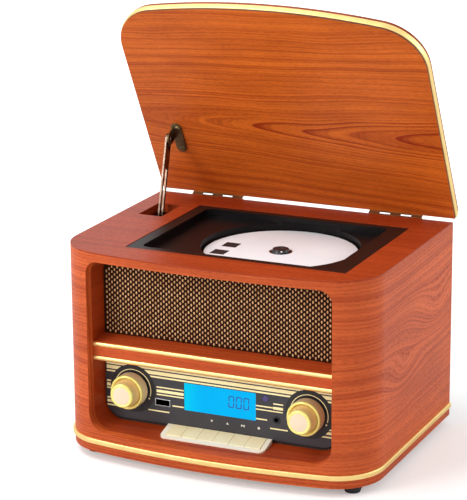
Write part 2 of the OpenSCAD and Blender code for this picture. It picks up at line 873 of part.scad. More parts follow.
// Turning hub: platter, skirt on the motor shaft, and a boss with three clamp balls
module disc_hub() {
    boss_h = 3.6;
    color("dimgray") placed()
        translate([disc_x, -disc_y, disc_low])
            difference() {
                union() {
                    translate([0, 0, -2.3]) cylinder(r = platter_r, h = 2.2);
                    translate([0, 0, -9]) cylinder(r = 5, h = 8);
                    translate([0, 0, -1]) cylinder(r = disc_hole_r - 0.1, h = boss_h);
                    translate([0, 0, boss_h - 1])
                        cylinder(r1 = disc_hole_r - 0.1, r2 = disc_hole_r - 1.4, h = 1.2);
                }
                translate([0, 0, -10]) cylinder(r = spindle_r + 0.02, h = 10);
            }
}

// Flat motor under the chassis, with its spindle
module spindle_motor() {
    color("silver") placed()
        translate([disc_x, -disc_y, chassis_low - motor_h]) {
            cylinder(r = motor_r, h = motor_h);
            cylinder(r = 3.4, h = motor_h + chassis_t + 0.6);
            cylinder(r = spindle_r, h = disc_low - 1 - chassis_low + motor_h);
        }
}

// Profile of one rack tooth
function tooth(x) = [[x - 1.1 * gear_m, -1.2 * gear_m], [x - 0.4 * gear_m, 0.9 * gear_m],
                     [x + 0.4 * gear_m, 0.9 * gear_m], [x + 1.1 * gear_m, -1.2 * gear_m]];

// Sled with the lens, the bores for the guide rods and the rack
module laser_sled() {
    lens_x = disc_x - lens_in;
    color("slategray") placed()
        difference() {
            union() {
                block([sled_x0, sled_x1], [-disc_y - sled_half, -disc_y + sled_half],
                      [sled_low, sled_low + sled_h]);
                translate([lens_x, -disc_y, sled_low + 1]) cylinder(r = 7, h = sled_h);
                translate([lens_x, -disc_y, sled_low + 1]) cylinder(r = 3, h = sled_h + 1.6);
                block([sled_x0, rack_x(rack_n - 1) + 2],
                      [-disc_y + sled_half + 0.2, rack_pitch_y - gear_m],
                      [sled_low, sled_low + 3]);
                block([sled_x0, sled_x1], [-disc_y + sled_half - 1, -disc_y + sled_half + 1],
                      [sled_low, sled_low + 3]);
                translate([0, rack_pitch_y, sled_low])
                    linear_extrude(3)
                        for (i = [0 : rack_n - 1]) polygon(tooth(rack_x(i)));
            }
            for (s = [-1, 1])
                rod_x_way(sled_x0 - 1, sled_x1 + 1, -disc_y + s * rod_y, rod_z, rod_r + run);
        }
}

// Middle of rack tooth i: the pinion starts in the first gap
function rack_x(i) = pinion_x + (i - 0.5) * PI * gear_m;

// Two polished guide rods
module guide_rods() {
    color("silver") placed()
        for (s = [-1, 1])
            rod_x_way(rod_x0, rod_x1, -disc_y + s * rod_y, rod_z, rod_r);
}

// Chassis plate with the rod holders and the holes of the grommets
module mech_chassis() {
    color("gray") placed()
        difference() {
            union() {
                block([chassis_x0, chassis_x1], [chassis_y0, chassis_y1],
                      [chassis_low, chassis_top]);
                for (x = [rod_x0, rod_x1 - 3], s = [-1, 1])
                    block([x, x + 3], [-disc_y + s * rod_y - 2.4, -disc_y + s * rod_y + 2.4],
                          [chassis_top - 0.5, rod_z + 2.4]);
            }
            for (s = [-1, 1])
                rod_x_way(rod_x0 - 1, rod_x1 + 1, -disc_y + s * rod_y, rod_z, rod_r + 0.01);
            translate([disc_x, -disc_y, chassis_low - 1]) cylinder(r = 3.45, h = chassis_t + 2);
            translate([pinion_x, pinion_y, chassis_low - 1]) cylinder(r = 2.5, h = chassis_t + 2);
            for (p = mount_spots)
                translate([p[0], p[1], chassis_low - 1])
                    cylinder(r = grommet_r - 1, h = chassis_t + 2);
        }
}

// Involute flank: point on the involute of base radius rb at roll angle t
function involute(rb, t) = [rb * (cos(t) + t * PI / 180 * sin(t)),
                            rb * (sin(t) - t * PI / 180 * cos(t))];

function turned(p, a) = [p[0] * cos(a) - p[1] * sin(a), p[0] * sin(a) + p[1] * cos(a)];

// Pinion on the sled motor's shaft
module sled_gear() {
    rb = pitch_r * cos(20);
    tip_r = pitch_r + 0.9 * gear_m;
    root_r = pitch_r - 1.2 * gear_m;
    t_tip = sqrt(pow(tip_r / rb, 2) - 1) * 180 / PI;
    t_pitch = tan(20) * 180 / PI;
    half = 90 / gear_n - 1.2;
    lean = half + t_pitch - 20;
    color("ivory") placed()
        translate([pinion_x, pinion_y, sled_low])
            difference() {
                linear_extrude(4) {
                    circle(r = root_r, $fn = 48);
                    for (i = [0 : gear_n - 1])
                        rotate(-90 + i * 360 / gear_n)
                            polygon(concat(
                                [turned([root_r - 0.5, 0], -lean)],
                                [for (k = [0 : 4]) turned(involute(rb, t_tip * k / 4), -lean)],
                                [for (k = [4 : -1 : 0])
                                    let (p = involute(rb, t_tip * k / 4))
                                    turned([p[0], -p[1]], lean)],
                                [turned([root_r - 0.5, 0], lean)]));
                }
                translate([0, 0, -1]) cylinder(r = spindle_r + 0.02, h = 6);
            }
}

// Small motor that drives the sled
module sled_motor() {
    color("silver") placed()
        translate([pinion_x, pinion_y, chassis_low - 10]) {
            cylinder(r = sled_motor_r, h = 10);
            cylinder(r = 2.4, h = 10 + chassis_t + 0.8);
            cylinder(r = spindle_r, h = sled_low + 4.4 - chassis_low + 10);
        }
}

// Rubber grommets between the chassis and the posts of the well
module mech_grommets() {
    color("black") placed()
        for (p = mount_spots)
            translate([p[0], p[1], 0])
                difference() {
                    union() {
                        translate([0, 0, chassis_low - 1.5]) cylinder(r = grommet_r, h = 1.4);
                        translate([0, 0, chassis_low - 0.5])
                            cylinder(r = grommet_r - 1 - run, h = chassis_t + 1);
                        translate([0, 0, chassis_top + 0.1]) cylinder(r = grommet_r, h = 1.4);
                    }
                    translate([0, 0, chassis_low - 3])
                        cylinder(r = mount_post_r + run, h = chassis_t + 8);
                }
}

// Lower board of the lid, which faces the deck
module lid_under_board() {
    color("darkorange") opened()
        difference() {
            union() {
                slab(0, lid_low, under_lip);
                slab(trim_seat + fit, lid_low, under_t);
            }
            hinge_screw_spots() rod_y_way(0, -7, 1, lid_low + 2.4, 0.9 + run);
            for (w = plate_screws)
                translate([-stay_x + ear_t + 5.5, -w, lid_low - 1])
                    cylinder(r = 1.3 + run, h = 4.6);
        }
}

// Brass strip round the lid's rim, between the lip of the under board and the upper board
module lid_trim() {
    color("gold") opened()
        difference() {
            slab(-trim_out / 2, lid_low + under_lip, lid_trim_h);
            slab(trim_seat, lid_low, lid_t, 1);
        }
}

// Upper board of the lid, rebated for the strip
module lid_top_board() {
    color("chocolate") opened() {
        slab(trim_seat + fit, lid_low + under_t, trim_top - under_t + 0.5);
        slab(0, lid_low + trim_top, lid_t - trim_top);
    }
}

// Where the hinge screws go
module hinge_screw_spots() {
    for (s = [-1, 1], o = [-14, 14])
        translate([s * hinge_x + o, 0, 0]) children();
}

// Knuckle k of five on a hinge
function knuckle_span(k) = [-hinge_len / 2 + k * hinge_len / 5 + 0.08,
                            -hinge_len / 2 + (k + 1) * hinge_len / 5 - 0.08];

// Leaves on the cabinet's rear edge, with the second and fourth knuckles
module hinge_deck_leaves() {
    color("goldenrod") placed()
        for (s = [-1, 1])
            translate([s * hinge_x, 0, 0])
                difference() {
                    union() {
                        block([-hinge_len / 2, hinge_len / 2], [0, 1.3],
                              [hinge_z - 11, hinge_z - knuckle_r - 0.4]);
                        for (k = [1, 3]) {
                            rod_x_way(knuckle_span(k)[0], knuckle_span(k)[1],
                                      hinge_y, hinge_z, knuckle_r);
                            block(knuckle_span(k), [0.3, 1.3], [hinge_z - 4, hinge_z]);
                        }
                    }
                    rod_x_way(-hinge_len, hinge_len, hinge_y, hinge_z, hinge_pin_r + 0.01);
                    for (o = [-14, 14]) rod_y_way(o, -1, 3, hinge_z - 6.6, 1);
                }
}

// Leaves on the lid's rear edge, with the first, third and fifth knuckles
module hinge_lid_leaves() {
    color("goldenrod") opened()
        for (s = [-1, 1])
            translate([s * hinge_x, 0, 0])
                difference() {
                    union() {
                        block([-hinge_len / 2, hinge_len / 2], [0, 1.3],
                              [max(lid_low, hinge_z + knuckle_r + 0.4), lid_low + 8.6]);
                        for (k = [0, 2, 4]) {
                            rod_x_way(knuckle_span(k)[0], knuckle_span(k)[1],
                                      hinge_y, hinge_z, knuckle_r);
                            block(knuckle_span(k), [0.3, 1.3], [hinge_z, lid_low + 1]);
                        }
                    }
                    rod_x_way(-hinge_len, hinge_len, hinge_y, hinge_z, hinge_pin_r + run);
                    for (o = [-14, 14]) rod_y_way(o, -1, 3, lid_low + 2.4, 1);
                }
}

// Steel pins of both hinges
module hinge_pins() {
    color("silver") placed()
        for (s = [-1, 1])
            rod_x_way(s * hinge_x - hinge_len / 2, s * hinge_x + hinge_len / 2,
                      hinge_y, hinge_z, hinge_pin_r);
}

// Screws of the leaves on the cabinet
module deck_hinge_screws() {
    color("goldenrod") placed()
        hinge_screw_spots()
            translate([0, 1.3, hinge_z - 6.6]) rotate([-90, 0, 0]) wood_screw(0.9, 1.9, 9);
}

// Screws of the leaves and of the stay's bracket on the lid
module lid_screws() {
    color("goldenrod") opened() {
        hinge_screw_spots()
            translate([0, 1.3, lid_low + 2.4]) rotate([-90, 0, 0]) wood_screw(0.9, 1.9, 7);
        for (w = plate_screws)
            translate([-stay_x + ear_t + 5.5, -w, lid_low - plate_t])
                rotate([180, 0, 0]) wood_screw(1.3, 2.4, plate_t + 3.4);
    }
}

// Angle bracket under the lid, with an ear for the stay
module lid_bracket() {
    x0 = -stay_x + arm_t / 2 + 0.3;
    color("goldenrod") opened()
        difference() {
            union() {
                block([x0, x0 + plate_w], [-plate_far + plate_w / 2, -plate_near - plate_w / 2],
                      [lid_low - plate_t, lid_low]);
                for (w = [plate_near, plate_far - plate_w])
                    translate([x0 + plate_w / 2, -w - plate_w / 2, lid_low - plate_t])
                        cylinder(r = plate_w / 2, h = plate_t);
                block([x0, x0 + ear_t], [-stay_w - 5, -stay_w + 5],
                      [lid_low - stay_u, lid_low - 0.5]);
                rod_x_way(x0, x0 + ear_t, -stay_w, lid_low - stay_u, 5);
            }
            rod_x_way(x0 - 1, x0 + ear_t + 1, -stay_w, lid_low - stay_u, rivet_r + 0.01);
            for (w = plate_screws)
                translate([-stay_x + ear_t + 5.5, -w, lid_low - 3]) cylinder(r = 1.4, h = 4);
        }
}

// Rivet through the bracket's ear and the arm
module stay_rivet() {
    x0 = -stay_x - arm_t / 2 - 0.1;
    x1 = -stay_x + arm_t / 2 + 0.3 + ear_t + 0.1;
    color("goldenrod") opened() {
        rod_x_way(x0 - 0.1, x1 + 0.1, -stay_w, lid_low - stay_u, rivet_r);
        rod_x_way(x0 - 1, x0, -stay_w, lid_low - stay_u, 2.8);
        rod_x_way(x1, x1 + 1, -stay_w, lid_low - stay_u, 2.8);
    }
}

// Flat stay arm with a long slot, hanging from the rivet to the stud
module stay_arm() {
    color("darkgoldenrod") placed()
        translate([-stay_x, pivot_y, pivot_z])
            rotate([arm_tilt, 0, 0])
                difference() {
                    union() {
                        rod_x_way(-arm_t / 2, arm_t / 2, 0, 0, arm_w / 2);
                        rod_x_way(-arm_t / 2, arm_t / 2, 0, -arm_end, arm_w / 2);
                        block([-arm_t / 2, arm_t / 2], [-arm_w / 2, arm_w / 2], [-arm_end, 0]);
                    }
                    rod_x_way(-arm_t, arm_t, 0, 0, rivet_r + run);
                    rod_x_way(-arm_t, arm_t, 0, -reach_shut + 2, arm_slot_r);
                    rod_x_way(-arm_t, arm_t, 0, -reach_open - 0.4, arm_slot_r);
                    block([-arm_t, arm_t], [-arm_slot_r, arm_slot_r],
                          [-reach_open - 0.4, -reach_shut + 2]);
                }
}

// Shoulder stud on the left wall, which the arm's slot slides along
module stay_stud() {
    color("silver") placed() {
        rod_x_way(-body_w / 2 + wall, -stay_x - arm_t / 2 - 0.5, stud_y, stud_z, 3.5);
        rod_x_way(-stay_x - arm_t / 2 - 0.6, -stay_x + arm_t / 2 + 0.6, stud_y, stud_z, stud_r);
        rod_x_way(-stay_x + arm_t / 2 + 0.5, -stay_x + arm_t / 2 + 1.7, stud_y, stud_z, 3.6);
    }
}

// Speaker frames with their magnets
module speaker_frames() {
    back = baffle_t;
    color("darkgray") placed()
        for (s = [-1, 1])
            translate([s * speaker_x, -baffle_y + back, base_z + speaker_z])
                rotate([-90, 0, 0])
                    rotate_extrude()
                        polygon([[cone_r + 0.8, 0], [speaker_r, 0], [speaker_r, 1.4],
                                 [cone_r + 1.6, 1.8], [12, speaker_d - 10], [16, speaker_d - 10],
                                 [16, speaker_d], [0, speaker_d], [0, speaker_d - 8],
                                 [9.5, speaker_d - 8], [9.5, speaker_d - 11],
                                 [cone_r + 0.3, 2.2]]);
}

// Paper cones with their dust caps
module speaker_cones() {
    color("black") placed()
        for (s = [-1, 1])
            translate([s * speaker_x, -baffle_y + baffle_t, base_z + speaker_z])
                rotate([-90, 0, 0])
                    rotate_extrude()
                        polygon([[cone_r, -1], [cone_r, 0.4], [9, speaker_d - 12],
                                 [9, speaker_d - 8.4], [7.6, speaker_d - 8.4],
                                 [7.6, speaker_d - 12], [0, speaker_d - 14.6],
                                 [0, speaker_d - 15.6], [8.2, speaker_d - 13.6]]);
}

// Main board on pillars, with its larger parts
module main_board() {
    x0 = -70;
    y0 = -140;
    top = board_z + 7.6;
    color("darkgreen") placed() {
        block([x0, x0 + 124], [y0, y0 + 78], [board_z + 6, top]);
        for (x = [x0 + 5, x0 + 119], y = [y0 + 5, y0 + 73])
            translate([x, y, board_z]) cylinder(r = 3, h = 6.2);
        block([x0 + 20, x0 + 60], [y0 + 60, y0 + 72], [top - 0.1, top + 24]);
        for (i = [0 : 2])
            translate([x0 + 78 + i * 16, y0 + 56, top - 0.1]) cylinder(r = 6, h = 20);
        block([x0 + 30, x0 + 44], [y0 + 20, y0 + 34], [top - 0.1, top + 2.5]);
        block([x0 + 70, x0 + 88], [y0 + 16, y0 + 28], [top - 0.1, top + 2.5]);
    }
}

// Mains transformer: laminated core and winding
module transformer() {
    color("dimgray") placed()
        translate([88, -62, board_z]) {
            translate([-24, -10, 0]) cube([48, 20, 40]);
            translate([-14, -18, 6]) cube([28, 36, 28]);
        }
}

// Bush for the mains cord in the back panel
module cord_bush() {
    color("black") placed()
        translate([bush_x, 0, bush_z])
            rotate([-90, 0, 0])
                difference() {
                    union() {
                        translate([0, 0, 0.05]) cylinder(r1 = bush_r + 2, r2 = bush_r + 1, h = 3);
                        translate([0, 0, -back_t - 3]) cylinder(r = bush_r, h = back_t + 4);
                    }
                    translate([0, 0, -back_t - 4]) cylinder(r = 3.2, h = back_t + 10);
                }
}

cabinet_shell();
recess_liner();
top_deck();
bottom_board();
base_trim();
back_panel();
case_screws();
feet();
speaker_baffle();
grille_cloth();
cross_rail();
rail_trims();
control_panel();
volume_knob();
tuning_knob();
standby_cap();
sleep_cap();
encoders();
lcd_window();
lcd_module();
ir_window();
usb_socket();
phones_jack();
key_bezel();
key(1);  // key_1
key(2);  // key_2
key(3);  // key_3
key(4);  // key_4
key(5);  // key_5
key(6);  // key_6
key_pivot_pin();
key_board();
cd_well();
disc();
disc_hub();
spindle_motor();
laser_sled();
guide_rods();
mech_chassis();
sled_gear();
sled_motor();
mech_grommets();
lid_under_board();
lid_trim();
lid_top_board();
hinge_deck_leaves();
hinge_lid_leaves();
hinge_pins();
deck_hinge_screws();
lid_screws();
lid_bracket();
stay_rivet();
stay_arm();
stay_stud();
speaker_frames();
speaker_cones();
main_board();
transformer();
cord_bush();
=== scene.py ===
import math

import bmesh
import bpy
from mathutils import Matrix, Vector


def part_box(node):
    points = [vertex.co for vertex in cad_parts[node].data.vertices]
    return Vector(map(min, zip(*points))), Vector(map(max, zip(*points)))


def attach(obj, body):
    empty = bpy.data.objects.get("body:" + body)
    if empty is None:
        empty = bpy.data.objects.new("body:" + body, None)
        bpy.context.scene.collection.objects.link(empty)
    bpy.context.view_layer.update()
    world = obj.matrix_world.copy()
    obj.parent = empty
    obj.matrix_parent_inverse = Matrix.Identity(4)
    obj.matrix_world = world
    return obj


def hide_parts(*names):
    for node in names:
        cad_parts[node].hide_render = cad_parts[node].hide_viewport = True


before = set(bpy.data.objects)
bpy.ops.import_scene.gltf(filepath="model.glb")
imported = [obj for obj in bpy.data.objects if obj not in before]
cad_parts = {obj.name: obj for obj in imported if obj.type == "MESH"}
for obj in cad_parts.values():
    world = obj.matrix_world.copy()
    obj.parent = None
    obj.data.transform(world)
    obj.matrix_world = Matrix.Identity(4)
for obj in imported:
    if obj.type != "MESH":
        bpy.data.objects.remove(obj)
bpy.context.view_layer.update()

# The view and the studio. The camera stands to the right of the set and a little above it, with a
# long lens. The set stands on a pale table top in a white room, lit by three large soft lamps.
case_low, case_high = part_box("cabinet_shell")
eye = (0.68292, case_high.y - 1.62142, case_low.z + 0.62964)
yaw, pitch, roll = math.radians(24.59), math.radians(-15.96), math.radians(-0.42)
ahead = Vector((-math.sin(yaw) * math.cos(pitch), math.cos(yaw) * math.cos(pitch),
                math.sin(pitch)))
level_right = Vector((math.cos(yaw), math.sin(yaw), 0))
level_up = level_right.cross(ahead)
right = math.cos(roll) * level_right + math.sin(roll) * level_up
up = -math.sin(roll) * level_right + math.cos(roll) * level_up
view_lens = bpy.data.cameras.new("view_lens")
view_lens.sensor_fit = "HORIZONTAL"
view_lens.sensor_width = 36
view_lens.lens = 174.6
view_lens.shift_x, view_lens.shift_y = -0.00681, -0.00929
view_lens.clip_start, view_lens.clip_end = 0.05, 40
view = bpy.data.objects.new("view", view_lens)
view.matrix_world = Matrix.Translation(eye) @ Matrix((right, up, -ahead)).transposed().to_4x4()
bpy.context.scene.collection.objects.link(view)
bpy.context.scene.camera = view
bpy.context.scene.view_settings.view_transform = "Standard"


def soft_lamp(name, place, aim, size, power):
    light = bpy.data.lights.new(name, "AREA")
    light.shape, light.size, light.energy = "DISK", size, power
    lamp = bpy.data.objects.new(name, light)
    lamp.location = place
    lamp.rotation_mode = "QUATERNION"
    lamp.rotation_quaternion = (Vector(aim) - Vector(place)).to_track_quat("-Z", "Y")
    bpy.context.scene.collection.objects.link(lamp)


soft_lamp("front_lamp", (-1.6, -2.4, 1.4), aim=(0, 0, 0.15), size=1.3, power=42)
soft_lamp("side_lamp", (2.4, 1.1, 1.2), aim=(0, 0, 0.1), size=1.5, power=26)
soft_lamp("top_lamp", (-1.1, -0.4, 2.3), aim=(0, 0, 0.1), size=1.5, power=26)


def add(tree, kind, feeds=(), **settings):
    made = tree.nodes.new("ShaderNode" + kind)
    for key, value in settings.items():
        setattr(made, key, value)
    for key, value in dict(feeds).items():
        if isinstance(value, bpy.types.Node):
            value = value.outputs[0]
        if isinstance(value, bpy.types.NodeSocket):
            tree.links.new(value, made.inputs[key])
        else:
            made.inputs[key].default_value = value
    return made


def calc(tree, operation, a, b=0.0, c=0.0):
    return add(tree, "Math", {0: a, 1: b, 2: c}, operation=operation)


def rise(tree, value, low, high, to_low=0.0, to_high=1.0):
    return add(tree, "MapRange", {0: value, 1: low, 2: high, 3: to_low, 4: to_high},
               interpolation_type="SMOOTHSTEP")


def feed(tree, skin, values):
    for key, value in values.items():
        if isinstance(value, bpy.types.Node):
            value = value.outputs[0]
        tree.links.new(value, skin.inputs[key])


room = bpy.data.worlds.new("white_room")
bpy.context.scene.world = room
room.use_nodes = True
tree = room.node_tree
tree.nodes.clear()
rays = add(tree, "LightPath").outputs
seen = calc(tree, "MAXIMUM", calc(tree, "MAXIMUM", rays["Is Camera Ray"], rays["Is Glossy Ray"]),
            rays["Is Transmission Ray"])
white, fill = 1.0, 0.57
glow = calc(tree, "MULTIPLY_ADD", seen, white - fill, fill)
backing = add(tree, "Background", {"Color": (1, 1, 1, 1), "Strength": glow})
add(tree, "OutputWorld", {"Surface": backing})

top_mesh = bpy.data.meshes.new("table_top")
bm = bmesh.new()
bmesh.ops.create_grid(bm, x_segments=2, y_segments=2, size=5)
bm.to_mesh(top_mesh)
bm.free()
table_top = bpy.data.objects.new("table_top", top_mesh)
bpy.context.scene.collection.objects.link(table_top)
pale_top = bpy.data.materials.new("pale_top")
pale_top.use_nodes = True
tree = pale_top.node_tree
paper = tree.nodes["Principled BSDF"]
paper.inputs["Base Color"].default_value = (0.83, 0.83, 0.83, 1)
paper.inputs["Roughness"].default_value = 0.9
paper.inputs["Emission Color"].default_value = (1, 1, 1, 1)
away = add(tree, "VectorMath", {0: add(tree, "TexCoord").outputs["Object"]}, operation="LENGTH")
fade_from, fade_to, lift_near, lift_far = 0.3, 1.6, 0.3, 0.8
lift = calc(tree, "MULTIPLY", add(tree, "LightPath").outputs["Is Camera Ray"],
            rise(tree, away.outputs["Value"], fade_from, fade_to, lift_near, lift_far))
feed(tree, paper, {"Emission Strength": lift})
top_mesh.materials.append(pale_top)

# Cabinet wall. One sheet of bent plywood makes both sides and the bowed front, with the grille
# recess cut through it. It is veneered outside with the grain running round it, stained orange and
# lacquered.
mm = 0.001
bow_r, corner_r = 598 * mm, 38 * mm
corner_x, corner_y = 89 * mm, case_high.y - 147.88 * mm
bow_y = case_high.y + 405 * mm
bow_half = math.asin(corner_x / (bow_r - corner_r))
front_run = bow_half * bow_r
corner_run = (math.pi / 2 - bow_half) * corner_r


def paint(*rgb):
    linear = [c / 255 / 12.92 if c < 11 else ((c / 255 + 0.055) / 1.055) ** 2.4 for c in rgb]
    return (*linear, 1)


def finish_of(name, colour, roughness, metallic=0.0, coat=0.0, shine=0.5):
    made = bpy.data.materials.new(name)
    made.use_nodes = True
    skin = made.node_tree.nodes["Principled BSDF"]
    for key, value in (("Base Color", colour), ("Roughness", roughness), ("Metallic", metallic),
                       ("Coat Weight", coat), ("Coat Roughness", 0.1),
                       ("Specular IOR Level", shine)):
        skin.inputs[key].default_value = value
    return made, made.node_tree, skin


def speckle(tree, place, size, stretch=(1, 1, 1), detail=2.0, rough=0.5):
    spot = add(tree, "Mapping", {"Vector": place, "Scale": [1 / size / s for s in stretch]})
    return add(tree, "TexNoise",
               {"Vector": spot, "Scale": 1.0, "Detail": detail, "Roughness": rough})


def stain(tree, factor, a, b, way="MIX"):
    return add(tree, "Mix", {0: factor, 6: a, 7: b}, data_type="RGBA", blend_type=way).outputs[2]


def veneer(name, pale, deep, pore, ring, wander, lines, dashes, knots=(), arch=None, bands=0.35,
           roughness=0.4, coat=0.0):
    made, tree, skin = finish_of(name, pale, roughness, coat=coat, shine=0.2)
    grain = add(tree, "UVMap", uv_map="grain")
    along, across = add(tree, "SeparateXYZ", {0: grain}).outputs[:2]
    # Where the cut lies in the log: straight across, then bent by slow noise, an arch and knots
    bend = speckle(tree, grain, 60 * mm, (2.6, 1, 1), 2, 0.45)
    level = calc(tree, "MULTIPLY_ADD", calc(tree, "SUBTRACT", bend, 0.5), wander, across)
    if arch:
        middle, round_off, taper = arch
        arch_half, bold, faint = 48 * mm, 1.7, 0.35
        off = calc(tree, "SUBTRACT", level, middle)
        hill = calc(tree, "SQRT", calc(tree, "MULTIPLY_ADD", off, off, round_off * round_off))
        level = calc(tree, "MULTIPLY_ADD", along, -taper, hill)
        lines = calc(tree, "MULTIPLY", rise(tree, hill, 0, arch_half, bold, faint), lines)
    knot_lines = 0.55
    for u, v, wide, high, height in knots:
        du = calc(tree, "DIVIDE", calc(tree, "SUBTRACT", along, u), wide)
        dv = calc(tree, "DIVIDE", calc(tree, "SUBTRACT", across, v), high)
        far = calc(tree, "MULTIPLY_ADD", du, du, calc(tree, "MULTIPLY", dv, dv))
        swell = calc(tree, "EXPONENT", calc(tree, "MULTIPLY", far, -1.0))
        level = calc(tree, "MULTIPLY_ADD", swell, height, level)
        lines = calc(tree, "MULTIPLY_ADD", swell, knot_lines, lines)
    # Growth rings: wide bands, and a dark line of changing strength at the end of each ring
    count = calc(tree, "DIVIDE", level, ring)
    wide_band = add(tree, "TexNoise", {"W": count, "Scale": 0.55, "Detail": 2.0, "Roughness": 0.55},
                    noise_dimensions="1D")
    edge = calc(tree, "FRACT", calc(tree, "MULTIPLY_ADD", bend, 0.8, count))
    line = calc(tree, "MULTIPLY", calc(tree, "POWER", edge, 3.0), rise(tree, edge, 1.0, 0.9))
    strength = add(tree, "TexNoise", {"W": count, "Scale": 0.31, "Detail": 1.0},
                   noise_dimensions="1D")
    line = calc(tree, "MULTIPLY", line, rise(tree, strength, 0.35, 0.65, 0.25, 1.5))
    depth = calc(tree, "MULTIPLY_ADD", line, lines, rise(tree, wide_band, 0.3, 0.72, 0.0, bands))
    # Fibres, and the open pores that lie in rows along the rings
    flow = add(tree, "CombineXYZ", {0: along, 1: level})
    fibre = speckle(tree, flow, 0.9 * mm, (24, 1, 1), 4, 0.65)
    depth = calc(tree, "MULTIPLY_ADD", calc(tree, "SUBTRACT", fibre, 0.5), 0.9, depth)
    dash = rise(tree, speckle(tree, flow, 0.5 * mm, (9, 1, 1), 1, 0.5), 0.44, 0.6)
    row = calc(tree, "SINE", calc(tree, "MULTIPLY", count, 2 * math.pi))
    dash = calc(tree, "MULTIPLY", dash, rise(tree, row, -0.6, 0.9, 0.35, 1.0))
    wood = stain(tree, depth, pale, deep)
    wood = stain(tree, calc(tree, "MULTIPLY", dash, dashes), wood, pore)
    # Uneven stain, and pores that are rougher and lie lower than the lacquer
    cloud = rise(tree, speckle(tree, grain, 34 * mm, (3.2, 1, 1), 3, 0.55), 0.36, 0.66, 0.0, 0.42)
    wood = stain(tree, cloud, wood, (0.62, 0.5, 0.42, 1), "MULTIPLY")
    pits = add(tree, "Bump", {"Strength": 0.25, "Distance": 0.08 * mm,
                              "Height": calc(tree, "MULTIPLY", dash, -1.0)})
    feed(tree, skin, {"Base Color": wood, "Normal": pits,
                      "Roughness": rise(tree, dash, 0, 1, roughness, roughness + 0.14)})
    return made


def piece_from(bm, name, body, finishes, stands_for=(), edge=0, segments=2, sharp=34):
    mesh = bpy.data.meshes.new(name)
    bm.normal_update()
    bm.to_mesh(mesh)
    bm.free()
    mesh.shade_smooth()
    made = bpy.data.objects.new(name, mesh)
    bpy.context.scene.collection.objects.link(made)
    for one in finishes:
        mesh.materials.append(one)
    if edge:
        soften = made.modifiers.new("soft_edges", "BEVEL")
        soften.width, soften.segments = edge, segments
        soften.limit_method, soften.angle_limit = "ANGLE", math.radians(sharp)
        soften.miter_outer = "MITER_ARC"
    else:
        mesh.set_sharp_from_angle(angle=math.radians(sharp))
    flat = made.modifiers.new("flat_faces", "WEIGHTED_NORMAL")
    flat.keep_sharp = True
    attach(made, body)
    if stands_for:
        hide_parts(*stands_for)
    return made


def merged_copy(node, join=0.004 * mm, pierced=False):
    bm = bmesh.new()
    bm.from_mesh(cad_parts[node].data)
    bmesh.ops.remove_doubles(bm, verts=bm.verts, dist=join)
    if not pierced:
        bmesh.ops.dissolve_limit(bm, angle_limit=math.radians(0.8), verts=bm.verts, edges=bm.edges)
    return bm


def lay_grain(bm, where):
    grain = bm.loops.layers.uv.new("grain")
    for face in bm.faces:
        for loop in face.loops:
            loop[grain].uv = where(loop.vert.co, face.normal)
    return bm


def round_the_wall(place, facing):
    steep, cut_lane = 0.7, 0.35
    if abs(facing.z) > steep:
        return place.x, place.y + cut_lane
    if facing.x * place.x < 0 and abs(facing.y) < steep:
        return place.z, place.y + cut_lane
    x, y = abs(place.x), place.y
    turn = math.atan2(y - corner_y, x - corner_x)
    if y >= corner_y:
        run = front_run + corner_run + y - corner_y
    elif turn > bow_half - math.pi / 2:
        run = front_run + (turn + math.pi / 2 - bow_half) * corner_r
    else:
        run = math.atan2(x, bow_y - y) * bow_r
    return math.copysign(run, place.x), place.z - case_low.z


wall_veneer = veneer("wall_veneer", paint(219, 102, 47), paint(168, 57, 19), paint(116, 37, 13),
                     ring=2.9 * mm, wander=12 * mm, lines=0.34, dashes=0.34, bands=0.5,
                     knots=((0.190, 0.070, 34 * mm, 15 * mm, 17 * mm),
                            (0.262, 0.098, 46 * mm, 22 * mm, 18 * mm),
                            (-0.20, 0.1, 60 * mm, 26 * mm, 20 * mm)))
piece_from(lay_grain(merged_copy("cabinet_shell"), round_the_wall), "cabinet_wall", "cabinet",
           [wall_veneer], ["cabinet_shell"], 0.7 * mm, 3)

# Recess lining. A glued frame of thin boards closes the space between the bowed front and the
# speaker board, flaring towards the front. It is stained a darker red brown and sprayed smooth.
recess_veneer = veneer("recess_veneer", paint(176, 66, 22), paint(126, 34, 6), paint(84, 24, 6),
                       ring=7 * mm, wander=5 * mm, lines=0.15, dashes=0.12, roughness=0.32,
                       coat=0.1)


def along_x(place, facing):
    steep, end_lane, lean_back = 0.7, 0.4, 1.02
    if abs(facing.x) > steep:
        return place.y + end_lane, place.z
    return place.x, place.y * lean_back + place.z - case_low.z


piece_from(lay_grain(merged_copy("recess_liner"), along_x), "recess_lining", "cabinet",
           [recess_veneer], ["recess_liner"], 0.3 * mm)

# Top deck. A board with the openings for the disc well and the stay lies inside the wall, and its
# thin lip covers the wall's edge. The veneer runs from side to side and is deeper in colour than
# the wall.
deck_veneer = veneer("deck_veneer", paint(182, 71, 30), paint(136, 40, 11), paint(98, 30, 9),
                     ring=3.4 * mm, wander=7 * mm, lines=0.25, dashes=0.35, roughness=0.36)
piece_from(lay_grain(merged_copy("top_deck"), along_x), "deck_board", "cabinet", [deck_veneer],
           ["top_deck"], 0.35 * mm)

# Brass strips. A polished half-round strip is let into the wall above its foot, two more run along
# the cross rail, and one sits on the lip round the lid's under board. They are pressed brass,
# polished and lacquered.


